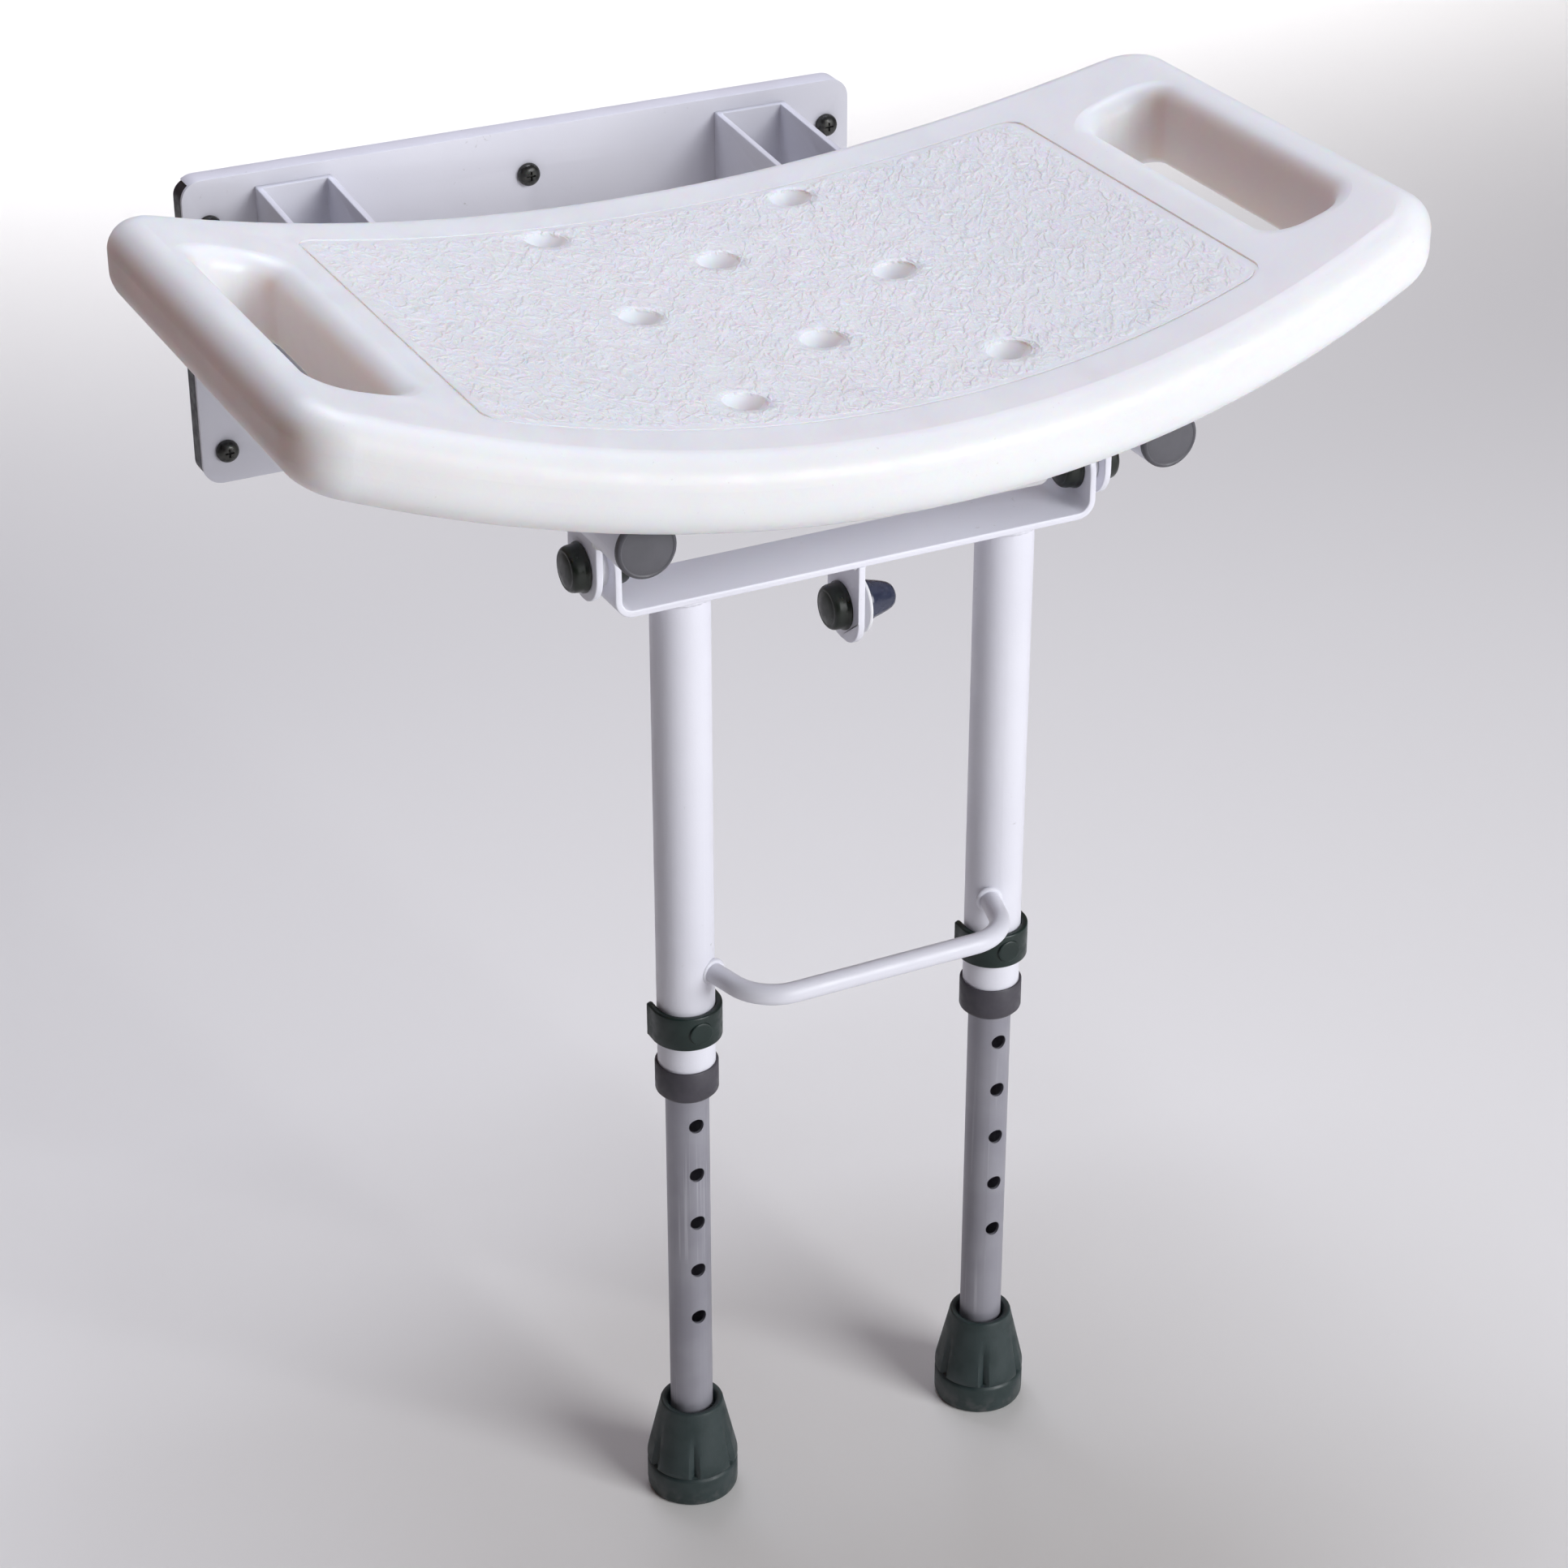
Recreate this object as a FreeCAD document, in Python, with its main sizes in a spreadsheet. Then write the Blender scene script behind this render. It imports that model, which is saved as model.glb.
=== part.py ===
import FreeCAD, Part
import Sketcher
import math
import os
from types import SimpleNamespace

# Folding shower seat: a dished board on two arms hinged on a wall plate, with a leg frame in front.
# The origin is the centre of the wall screws on the wall's face. Z is up, -Y points into the room
# and X runs along the wall. Lengths are millimetres.

Vector = FreeCAD.Vector
Rotation = FreeCAD.Rotation

FULL_TURN = 360
QUARTER_TURN = 90
HEX_SIDES = 6
PROBE_COUNT = 3
PARALLEL_SHARE = 0.999999

DIMENSIONS = (
    # Seat board
    ("seat_height", 538, "floor to the top of the board in the middle"),
    ("floor_drop", 455, "floor below the centre of the wall screws"),
    ("seat_width", 497, "board from end to end"),
    ("seat_depth", 303, "board from back to front in the middle"),
    ("seat_gap", 121, "wall to the board's back edge in the middle"),
    ("seat_thickness", 34, "board's thickness"),
    ("dish_radius", 694, "radius of the dished top, across the width"),
    ("back_bow", 32, "bulge of the back edge towards the wall"),
    ("front_bow", 36, "bulge of the front edge"),
    ("seat_corner", 27, "corner radius in plan"),
    ("seat_top_round", 12, "rounding of the upper rim"),
    ("seat_under_round", 16, "rounding of the lower rim"),
    ("slot_margin", 40, "board's end to a hand slot's centre"),
    ("slot_width", 33, "hand slot across"),
    ("slot_back", 76, "board's back edge to a hand slot"),
    ("slot_front", 75, "hand slot to the board's front edge"),
    ("slot_corner", 12, "corner radius of a hand slot"),
    ("slot_lip", 9, "rounding of a hand slot's upper lip"),
    ("slot_under_lip", 3, "rounding of its lower lip"),
    ("panel_margin", 38.5, "hand slot's centre to the textured panel's side"),
    ("panel_border", 32, "plain border behind and before the panel"),
    ("panel_corner", 12, "corner radius of the panel"),
    ("groove_width", 1.6, "outline groove of the panel"),
    ("groove_depth", 0.8, "depth of that groove"),
    ("drain_column", 57.8, "middle column of drains to the outer ones"),
    ("drain_setback", 49, "board's back edge to the first drains"),
    ("drain_front", 60.8, "last drains to the board's front edge"),
    ("drain_rows", 3, "drains in an outer column"),
    ("drain_mouth", 19, "funnel's mouth"),
    ("drain_bore", 7, "drain hole"),
    ("drain_funnel", 7, "funnel's depth"),
    ("channel_gap", 2.5, "space before a tube plug in the board's channel"),
    # Wall plate and its screws
    ("plate_margin", 12, "outer wall screws to the plate's ends"),
    ("plate_top", 77, "screws' centre to the plate's top"),
    ("plate_bottom", 71, "screws' centre to the plate's bottom"),
    ("plate_depth", 12, "how far the plate stands off the wall"),
    ("plate_skin", 2, "sheet of the wall plate"),
    ("plate_corner", 9.5, "corner radius of the plate"),
    ("end_cap_width", 7.5, "plastic end cap along the wall"),
    ("screw_offset", 41, "arm's axis to the outer wall screws, along the wall"),
    ("screw_rise", 110, "upper to lower wall screws"),
    ("screw_shank", 6, "wall screw's diameter"),
    ("screw_neck", 6.4, "its neck in the plate"),
    ("screw_neck_spare", 0.5, "neck behind the plate's sheet"),
    ("screw_head", 11, "wall screw's head"),
    ("screw_head_height", 4.5, "height of that head"),
    ("screw_reach", 16, "screw's length beyond the wall's face"),
    # Hinge brackets and rear pivots
    ("bracket_width", 36.8, "hinge bracket over both ears"),
    ("sheet_thickness", 3, "sheet of brackets, hangers and crossbar"),
    ("bracket_top", 70.5, "screws' centre to the bracket's top"),
    ("bracket_low", 55, "screws' centre to the bracket's foot"),
    ("ear_round", 14, "radius of an ear around its pivot"),
    ("rear_pivot_reach", 95, "wall to the rear pivots"),
    ("rear_pivot_rise", 48.5, "screws' centre to the rear pivots and arms"),
    ("bolt_diameter", 8, "pivot bolts"),
    ("hex_radius", 7.5, "corner radius of bolt heads and nuts"),
    ("hex_height", 5.3, "height of bolt heads and nuts"),
    ("bolt_end", 0.7, "bolt's end beyond its nut"),
    ("cap_diameter", 21, "plastic caps over heads and nuts"),
    ("cap_length", 8, "their length"),
    ("cap_wall", 1.6, "their end wall"),
    ("cap_bore", 15.4, "their bore"),
    ("cap_round", 2.6, "rounding of their end"),
    ("bush_diameter", 12, "bush through an arm tube's wall"),
    ("bush_flange", 19, "flange of the bush"),
    ("bush_reach", 11, "bush's sleeve inside the tube"),
    # Arms
    ("arm_spacing", 230, "between the arm tubes' axes"),
    ("tube_diameter", 25, "arm tubes and upper legs"),
    ("tube_wall", 1.5, "their wall"),
    ("arm_tail", 12, "arm tube behind its pivot"),
    ("arm_reach", 393, "wall to the arm tubes' front ends"),
    ("plug_head", 3, "visible disc of a tube plug"),
    ("plug_spigot", 14, "plug's spigot in the front end"),
    ("tail_spigot", 4, "plug's spigot in the rear end"),
    ("plug_round", 1.4, "rounding of the disc"),
    ("seat_screw_shank", 5, "screws from the arms into the board"),
    ("seat_screw_head", 10, "their heads"),
    ("seat_screw_head_height", 3, "height of those heads"),
    ("seat_screw_bite", 15, "their length in the board"),
    ("seat_screw_inset", 45, "board's back edge to the rear screws"),
    ("seat_screw_margin", 38, "arm's front end to the front screws"),
    # Leg frame
    ("front_pivot_reach", 336, "wall to the front pivots and legs"),
    ("front_pivot_drop", 32.5, "arm tube's axis to the front pivot"),
    ("hanger_width", 28, "hanger from back to front"),
    ("crossbar_width", 33, "crossbar from back to front"),
    ("crossbar_front", 15, "crossbar's front edge before the pivot"),
    ("crossbar_drop", 19, "pivot to the crossbar's underside"),
    ("crossbar_bend", 8, "outer radius of the crossbar's bends"),
    ("leg_inset", 40.5, "arm's axis to the leg's, along the wall"),
    ("leg_end_drop", 34.1, "locking pin to the upper leg's end"),
    ("spacer_diameter", 18, "spacer between crossbar and hanger"),
    ("spacer_length", 4.2, "its length"),
    ("rod_diameter", 9, "brace rod"),
    ("rod_rise", 25.9, "locking pin to the brace rod"),
    ("rod_reach", 40, "leg axis to the rod's front run"),
    ("rod_corner_inset", 15.5, "leg axis to the rod's corner, along the wall"),
    ("rod_bend", 21, "rod's bend radius"),
    ("rod_inset", 5, "leg axis to where the rod meets it"),
    # Stop under the crossbar
    ("stop_length", 38, "stop bracket below the crossbar"),
    ("stop_width", 28, "stop bracket from back to front"),
    ("stop_flare", 8, "extra width where it meets the crossbar"),
    ("stop_flare_height", 9, "height of that flare"),
    ("stop_round", 12, "rounding of its lower corners"),
    ("stop_bolt_drop", 23, "crossbar's underside to the stop bolt"),
    ("stop_nut_height", 3, "thin nut on the stop bolt"),
    ("washer_diameter", 26, "white cup washer"),
    ("washer_thickness", 2.2, "its thickness"),
    ("buffer_base", 18, "rubber buffer's base"),
    ("buffer_tip", 8, "rubber buffer's tip"),
    ("buffer_length", 15.5, "rubber buffer's length"),
    ("buffer_socket", 9, "bolt's depth in the buffer"),
    ("buffer_round", 2.5, "rounding of the tip"),
    # Collars, clips and lower legs
    ("collar_wall", 1.2, "collar around the upper leg"),
    ("collar_lip", 2.4, "collar under the tube's end"),
    ("collar_height", 15.5, "collar's height outside"),
    ("collar_sleeve", 22, "collar's sleeve inside the tube"),
    ("collar_chamfer", 1.8, "chamfer of the collar's lower rim"),
    ("pin_height", 250.1, "floor to the locking pins"),
    ("hole_pitch", 25.4, "between the adjustment holes"),
    ("hole_count", 7, "adjustment holes in a lower leg"),
    ("hole_diameter", 7, "adjustment holes"),
    ("pin_diameter", 6.3, "locking pins"),
    ("pin_depth", 6, "pin's end inside the upper leg's outside"),
    ("clip_height", 16, "spring clip's band"),
    ("clip_wall", 2.8, "its thickness"),
    ("clip_arm", 6.5, "its arms behind the leg's axis"),
    ("clip_button", 10, "raised button on the band"),
    ("clip_button_rise", 1.2, "how far it stands proud"),
    ("lower_leg_diameter", 19, "lower legs"),
    ("lower_leg_wall", 1.3, "their wall"),
    ("lower_leg_spare", 40, "lower leg above its top hole"),
    ("glide_head", 4, "glide above the lower leg"),
    ("glide_spigot", 12, "glide inside the lower leg"),
    # Ferrules
    ("ferrule_height", 47, "rubber foot"),
    ("ferrule_base", 41, "its widest diameter"),
    ("ferrule_sole", 39, "its sole"),
    ("ferrule_top", 28.6, "its top"),
    ("ferrule_band", 14, "height of the band above the sole"),
    ("ferrule_line", 1, "width and depth of the line above the band"),
    ("ferrule_edge", 2, "height of the sole's sloping edge"),
    ("ferrule_shoulder", 18, "height where it starts to taper"),
    ("ferrule_floor", 8, "rubber under the lower leg"),
    # Fits
    ("running_gap", 0.06, "shaft in its bore, radially"),
    ("moving_gap", 0.3, "between pieces that move on each other"),
    ("fixed_gap", 0.05, "between round pieces that are fixed"),
    ("overrun", 5, "how far a cut runs past its piece"),
)


class Measure:
    """A length that carries its formula on the sheet beside its value."""

    def __init__(self, text, value):
        self.text = text
        self.value = value

    def __add__(self, other):
        return Measure(f"({self.text} + {text_of(other)})", self.value + value_of(other))

    def __sub__(self, other):
        return Measure(f"({self.text} - {text_of(other)})", self.value - value_of(other))

    def __mul__(self, other):
        return Measure(f"({self.text} * {text_of(other)})", self.value * value_of(other))

    def __truediv__(self, other):
        return Measure(f"({self.text} / {text_of(other)})", self.value / value_of(other))

    def __neg__(self):
        return Measure(f"(-1 * {self.text})", -self.value)

    def __float__(self):
        return self.value


def text_of(amount):
    return amount.text if isinstance(amount, Measure) else f"{amount}"


def value_of(amount):
    return float(amount)


def is_zero(amount):
    return not isinstance(amount, Measure) and amount == 0


doc = FreeCAD.newDocument("FoldingShowerSeat")
sheet = doc.addObject("Spreadsheet::Sheet", "Sizes")
parts = {}


def fill_sheet():
    """Writes the driving dimensions and hands them back as measures."""
    measures = {}
    for row, (alias, value, note) in enumerate(DIMENSIONS, start=1):
        sheet.set(f"A{row}", alias)
        sheet.set(f"B{row}", str(value))
        sheet.set(f"C{row}", note)
        sheet.setAlias(f"B{row}", alias)
        measures[alias] = Measure(f"Sizes.{alias}", float(value))
    doc.recompute()
    return SimpleNamespace(**measures)


size = fill_sheet()

# Places that several pieces share
ARM_X = size.arm_spacing / 2
LEG_X = ARM_X - size.leg_inset
LEG_Y = -size.front_pivot_reach
SLOT_X = size.seat_width / 2 - size.slot_margin
SLOT_LENGTH = size.seat_depth - size.slot_back - size.slot_front
SLOT_SETBACK = size.slot_back + SLOT_LENGTH / 2
DRAIN_REACH = size.seat_depth - size.drain_setback - size.drain_front
PANEL_X = SLOT_X - size.panel_margin
SCREW_X = ARM_X + size.screw_offset
PLATE_X = SCREW_X + size.plate_margin
FLOOR = -size.floor_drop
SEAT_TOP = size.seat_height - size.floor_drop
ARM_Z = size.rear_pivot_rise
PIVOT_Y = -size.rear_pivot_reach
FRONT_PIVOT_Z = ARM_Z - size.front_pivot_drop
CROSSBAR_Z = FRONT_PIVOT_Z - size.crossbar_drop
PIN_Z = FLOOR + size.pin_height
LEG_END_Z = PIN_Z - size.leg_end_drop
BOLT_R = size.bolt_diameter / 2
TUBE_R = size.tube_diameter / 2
TUBE_BORE_R = TUBE_R - size.tube_wall
LOWER_LEG_R = size.lower_leg_diameter / 2
BRACKET_X = ARM_X - size.bracket_width / 2
HANGER_X = ARM_X - size.sheet_thickness / 2
CROSSBAR_X = HANGER_X - size.moving_gap - size.spacer_length
CROSSBAR_EAR_X = CROSSBAR_X - size.sheet_thickness
NUT_X = HANGER_X + size.sheet_thickness + size.moving_gap
STOP_BOLT_Z = CROSSBAR_Z - size.stop_bolt_drop

UPRIGHT = Rotation()
ALONG_X = Rotation(Vector(0, 1, 0), QUARTER_TURN)
AGAINST_X = Rotation(Vector(0, 1, 0), -QUARTER_TURN)
TO_FRONT = Rotation(Vector(1, 0, 0), QUARTER_TURN)
TO_WALL = Rotation(Vector(1, 0, 0), -QUARTER_TURN)


def bind(thing, prop, amount):
    """Ties a property to the sheet, or sets it where the amount is a plain number."""
    if isinstance(amount, Measure):
        thing.setExpression(prop, amount.text)
    else:
        setattr(thing, prop, amount)


def place(thing, at, turned=UPRIGHT):
    """Stands a thing at a point whose coordinates follow the sheet."""
    thing.Placement = FreeCAD.Placement(Vector(*(value_of(c) for c in at)), turned)
    for axis, amount in zip("xyz", at):
        if isinstance(amount, Measure):
            thing.setExpression(f"Placement.Base.{axis}", amount.text)


def primitive(kind, name, at, turned=UPRIGHT, **amounts):
    thing = doc.addObject(f"Part::{kind}", name)
    for prop, amount in amounts.items():
        bind(thing, prop, amount)
    place(thing, at, turned)
    return thing


def bar(name, radius, length, at, turned=UPRIGHT):
    return primitive("Cylinder", name, at, turned, Radius=radius, Height=length)


def hexagon(name, height, at, turned):
    return primitive("Prism", name, at, turned,
                     Polygon=HEX_SIDES, Circumradius=size.hex_radius, Height=height)


def group(name, members):
    thing = doc.addObject("Part::Compound", name)
    thing.Links = members
    return thing


def fuse(name, members):
    thing = doc.addObject("Part::MultiFuse", name)
    thing.Shapes = members
    return thing


def cut(name, base, tools):
    thing = doc.addObject("Part::Cut", name)
    thing.Base = base
    thing.Tool = tools[0] if len(tools) == 1 else group(f"{name}_tools", tools)
    return thing


def mirrored(name, source):
    """The same piece on the other side of the middle plane."""
    thing = doc.addObject("Part::Mirroring", name)
    thing.Source = source
    thing.Normal = Vector(1, 0, 0)
    return thing


def both_sides(name, members):
    return group(name, members + [mirrored(f"{member.Name}_mirrored", member) for member in members])


def part(name, thing):
    """Makes a thing a piece of the seat: its label is its node's name."""
    thing.Label = name
    parts[name] = thing


def part_pair(name, thing):
    """A right-hand piece and its left-hand mirror, each a node of its own."""
    part(f"right_{name}", thing)
    part(f"left_{name}", mirrored(f"left_{name}_mirror", thing))


# Sketches and features of bodies
def new_body(name):
    return doc.addObject("PartDesign::Body", name)


def new_sketch(body, name, plane):
    sketch = body.newObject("Sketcher::SketchObject", name)
    planes = {feature.Role: feature for feature in body.Origin.OriginFeatures}
    sketch.AttachmentSupport = [(planes[plane], "")]
    sketch.MapMode = "FlatFace"
    return sketch


def pin_point(sketch, geometry, which, across, up):
    """Holds a point of the sketch at its two distances from the sketch's origin.

    Sketcher numbers a sketch's axes -1 and -2, and the start, end and centre of its geometry 1, 2 and 3.
    """
    for kind, amount, axis in (("DistanceX", across, -2), ("DistanceY", up, -1)):
        if is_zero(amount):
            sketch.addConstraint(Sketcher.Constraint("PointOnObject", geometry, which, axis))
            continue
        index = sketch.addConstraint(Sketcher.Constraint(kind, -1, 1, geometry, which, value_of(amount)))
        sketch.setExpression(f"Constraints[{index}]", text_of(amount))


def outline(body, name, plane, corners):
    """A closed outline of straight edges through its corners."""
    sketch = new_sketch(body, name, plane)
    points = [Vector(value_of(across), value_of(up), 0) for across, up in corners]
    following = [(index + 1) % len(points) for index in range(len(points))]
    for index, after in enumerate(following):
        sketch.addGeometry(Part.LineSegment(points[index], points[after]), False)
    for index, after in enumerate(following):
        sketch.addConstraint(Sketcher.Constraint("Coincident", index, 2, after, 1))
    for index, (across, up) in enumerate(corners):
        pin_point(sketch, index, 1, across, up)
    return sketch


def circles(body, name, plane, rounds):
    """Circles, each a centre across and up, and a radius."""
    sketch = new_sketch(body, name, plane)
    for index, (across, up, radius) in enumerate(rounds):
        centre = Vector(value_of(across), value_of(up), 0)
        sketch.addGeometry(Part.Circle(centre, Vector(0, 0, 1), value_of(radius)), False)
        pin_point(sketch, index, 3, across, up)
        held = sketch.addConstraint(Sketcher.Constraint("Radius", index, value_of(radius)))
        sketch.setExpression(f"Constraints[{held}]", text_of(radius))
    return sketch


def pad(body, sketch, length):
    feature = body.newObject("PartDesign::Pad", f"{sketch.Name}_pad")
    feature.Profile = sketch
    bind(feature, "Length", length)
    return feature


def revolve(body, sketch):
    feature = body.newObject("PartDesign::Revolution", f"{sketch.Name}_turned")
    feature.Profile = sketch
    feature.ReferenceAxis = (sketch, ["V_Axis"])
    feature.Angle = FULL_TURN
    return feature


def checked_cut(body, feature):
    """A cut that takes nothing away shows no error, so its volume is compared."""
    doc.recompute()
    before = feature.BaseFeature.Shape.Volume
    if not feature.Shape.Volume < before:
        raise RuntimeError(f"{feature.Name} cuts nothing")
    return feature


def pocket_through(body, sketch):
    feature = body.newObject("PartDesign::Pocket", f"{sketch.Name}_cut")
    feature.Profile = sketch
    feature.Type = "ThroughAll"
    feature.SideType = "Symmetric"
    return checked_cut(body, feature)


def rounded(body, base, radius, wanted):
    """Rounds the edges of a feature that pass a test of their own."""
    doc.recompute()
    names = [f"Edge{number}" for number, edge in enumerate(base.Shape.Edges, start=1) if wanted(edge)]
    feature = body.newObject("PartDesign::Fillet", f"{base.Name}_round")
    feature.Base = (base, names)
    bind(feature, "Radius", radius)
    return feature


NEAR = value_of(size.fixed_gap) / 2


def runs_along(edge, direction):
    if not isinstance(edge.Curve, Part.Line):
        return False
    return abs(edge.Curve.Direction.dot(direction)) > PARALLEL_SHARE


def at_rim(radius, height):
    """Picks the circle of a turned piece at that radius and height."""

    def wanted(edge):
        if not isinstance(edge.Curve, Part.Circle):
            return False
        low = abs(edge.Vertexes[0].Point.z - value_of(height)) < NEAR
        return low and abs(edge.Curve.Radius - value_of(radius)) < NEAR

    return wanted


def turned_piece(name, profile, at, turned=UPRIGHT):
    """A solid of revolution from (radius, height) corners, its axis standing at a point."""
    body = new_body(name)
    revolve(body, outline(body, f"{name}_profile", "XZ_Plane", profile))
    place(body, at, turned)
    return body


# Seat board
def dish_height(across):
    """Height of the board's top at a distance from its middle."""
    radius = value_of(size.dish_radius)
    return value_of(SEAT_TOP) + radius - math.sqrt(radius ** 2 - across ** 2)


def board_prism(half_width, border, corner):
    """Upright prism over the board's plan, drawn in by a border and with rounded corners."""
    half = value_of(size.seat_width) / 2
    back = -value_of(size.seat_gap) - border
    front = -value_of(size.seat_gap) - value_of(size.seat_depth) + border
    side_share = (half_width / half) ** 2
    back_side = back - value_of(size.back_bow) * side_share
    front_side = front + value_of(size.front_bow) * side_share
    low = value_of(SEAT_TOP) - value_of(size.seat_thickness) - value_of(size.overrun)
    high = dish_height(half) + value_of(size.overrun)
    left_back, right_back = Vector(-half_width, back_side, low), Vector(half_width, back_side, low)
    left_front, right_front = Vector(-half_width, front_side, low), Vector(half_width, front_side, low)
    edges = [
        Part.Arc(left_back, Vector(0, back, low), right_back).toShape(),
        Part.LineSegment(right_back, right_front).toShape(),
        Part.Arc(right_front, Vector(0, front, low), left_front).toShape(),
        Part.LineSegment(left_front, left_back).toShape(),
    ]
    prism = Part.Face(Part.Wire(edges)).extrude(Vector(0, 0, high - low))
    upright = [edge for edge in prism.Edges if runs_along(edge, Vector(0, 0, 1))]
    return prism.makeFillet(corner, upright)


def dish_cylinder(depth):
    """Cylinder along Y whose lower side is the dished top, sunk by a depth."""
    radius = value_of(size.dish_radius)
    length = value_of(size.seat_gap) + value_of(size.seat_depth) + value_of(size.overrun)
    start = Vector(0, -length, value_of(SEAT_TOP) + radius)
    return Part.makeCylinder(radius + depth, length, start, Vector(0, 1, 0))


def hand_slot(side):
    """Prism through the board for one hand slot."""
    length, width = value_of(SLOT_LENGTH), value_of(size.slot_width)
    low = value_of(SEAT_TOP) - value_of(size.seat_thickness) - value_of(size.overrun)
    high = dish_height(value_of(size.seat_width) / 2) + value_of(size.overrun)
    centre_y = -value_of(size.seat_gap) - value_of(SLOT_SETBACK)
    corner = Vector(side * value_of(SLOT_X) - width / 2, centre_y - length / 2, low)
    box = Part.makeBox(width, length, high - low, corner)
    upright = [edge for edge in box.Edges if runs_along(edge, Vector(0, 0, 1))]
    return box.makeFillet(value_of(size.slot_corner), upright)


def drain_places():
    """Outer columns of three drains and a middle column of two between them."""
    column = value_of(size.drain_column)
    first = -value_of(size.seat_gap) - value_of(size.drain_setback)
    rows = int(value_of(size.drain_rows))
    pitch = value_of(DRAIN_REACH) / (rows - 1)
    for across in (-column, column):
        for row in range(rows):
            yield across, first - row * pitch
    for row in range(rows - 1):
        yield 0, first - pitch / 2 - row * pitch


def drain(across, along):
    """Funnel and hole of one drain."""
    funnel, bore = value_of(size.drain_funnel), value_of(size.drain_bore) / 2
    mouth = value_of(size.drain_mouth) / 2
    top = dish_height(across)
    cone = Part.makeCone(bore, mouth, funnel, Vector(across, along, top - funnel))
    rim = Part.makeCylinder(mouth, funnel, Vector(across, along, top))
    deep = value_of(size.seat_thickness) + value_of(size.overrun)
    hole = Part.makeCylinder(bore, deep, Vector(across, along, top - deep))
    return cone.fuse([rim, hole])


def rim_edges(board, depth, inside):
    """Edges of the board's outline or of its slots that lie on one of the dished faces."""
    radius = value_of(size.dish_radius) + depth
    centre = value_of(SEAT_TOP) + value_of(size.dish_radius)
    slot_reach = value_of(size.slot_width) / 2 + NEAR
    slot_half = value_of(SLOT_LENGTH) / 2 + NEAR
    slot_y = -value_of(size.seat_gap) - value_of(SLOT_SETBACK)
    for edge in board.Edges:
        points = edge.discretize(PROBE_COUNT)
        on_face = all(abs(math.hypot(p.x, p.z - centre) - radius) < NEAR for p in points)
        in_slot = all(abs(abs(p.x) - value_of(SLOT_X)) <= slot_reach
                      and abs(p.y - slot_y) <= slot_half for p in points)
        if on_face and in_slot == inside:
            yield edge


def board_blank():
    """Dished slab with its hand slots, all rims rounded."""
    thickness = value_of(size.seat_thickness)
    board = board_prism(value_of(size.seat_width) / 2, 0, value_of(size.seat_corner))
    board = board.common(dish_cylinder(thickness)).cut(dish_cylinder(0))
    board = board.cut([hand_slot(-1), hand_slot(1)]).Solids[0]
    for radius, depth, inside in (
            (size.seat_top_round, 0, False), (size.seat_under_round, thickness, False),
            (size.slot_lip, 0, True), (size.slot_under_lip, thickness, True)):
        board = board.makeFillet(value_of(radius), list(rim_edges(board, depth, inside)))
    return board


def panel_groove():
    """Ring that sinks the outline of the textured panel into the dished top."""
    half = value_of(PANEL_X)
    border, corner = value_of(size.panel_border), value_of(size.panel_corner)
    groove = value_of(size.groove_width)
    outer = board_prism(half, border, corner)
    inner = board_prism(half - groove, border + groove, corner - groove)
    return outer.cut(inner).common(dish_cylinder(value_of(size.groove_depth)))


def arm_channel(side):
    """Channel for one arm tube with its plug, and the holes of its two screws."""
    across, up = side * value_of(ARM_X), value_of(ARM_Z)
    end = value_of(size.arm_reach) + value_of(size.plug_head) + value_of(size.channel_gap)
    radius = value_of(TUBE_R) + value_of(size.fixed_gap)
    tools = [Part.makeCylinder(radius, end, Vector(across, -end, up), Vector(0, 1, 0))]
    hole = value_of(size.seat_screw_shank) / 2 + value_of(size.fixed_gap)
    deep = value_of(TUBE_R) + value_of(size.seat_screw_bite)
    for along in seat_screw_places():
        tools.append(Part.makeCylinder(hole, deep, Vector(across, value_of(along), up)))
    return tools


def seat_board():
    """Dished board with hand slots, drain funnels, a panel groove and channels for the arms."""
    tools = [drain(across, along) for across, along in drain_places()]
    tools += [panel_groove()] + arm_channel(-1) + arm_channel(1)
    thing = doc.addObject("Part::Feature", "seat_board")
    thing.Shape = board_blank().cut(tools).Solids[0]
    part("seat_board", thing)


# Wall plate, hinge brackets and rear pivots
def wall_screw_places():
    for across in (-SCREW_X, 0, SCREW_X):
        for up in (-size.screw_rise / 2, size.screw_rise / 2):
            yield across, up


def wall_plate():
    """Pressed pan: a front skin with flanges turned back to the wall along its top and bottom."""
    body = new_body("wall_plate")
    half = PLATE_X
    front = outline(body, "plate_front", "XZ_Plane", (
        (-half, -size.plate_bottom), (half, -size.plate_bottom),
        (half, size.plate_top), (-half, size.plate_top)))
    block = pad(body, front, size.plate_depth)
    rounded(body, block, size.plate_corner, lambda edge: runs_along(edge, Vector(0, 1, 0)))
    inside = half + size.overrun
    low, high = -size.plate_bottom + size.plate_skin, size.plate_top - size.plate_skin
    hollow = body.newObject("PartDesign::Pocket", "plate_hollow")
    hollow.Profile = outline(body, "plate_inside", "XZ_Plane", (
        (-inside, low), (inside, low), (inside, high), (-inside, high)))
    hollow.Reversed = True
    bind(hollow, "Length", size.plate_depth - size.plate_skin)
    checked_cut(body, hollow)
    radius = size.screw_neck / 2 + size.fixed_gap
    holes = [(across, up, radius) for across, up in wall_screw_places()]
    pocket_through(body, circles(body, "plate_holes", "XZ_Plane", holes))
    part("wall_plate", body)


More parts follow.
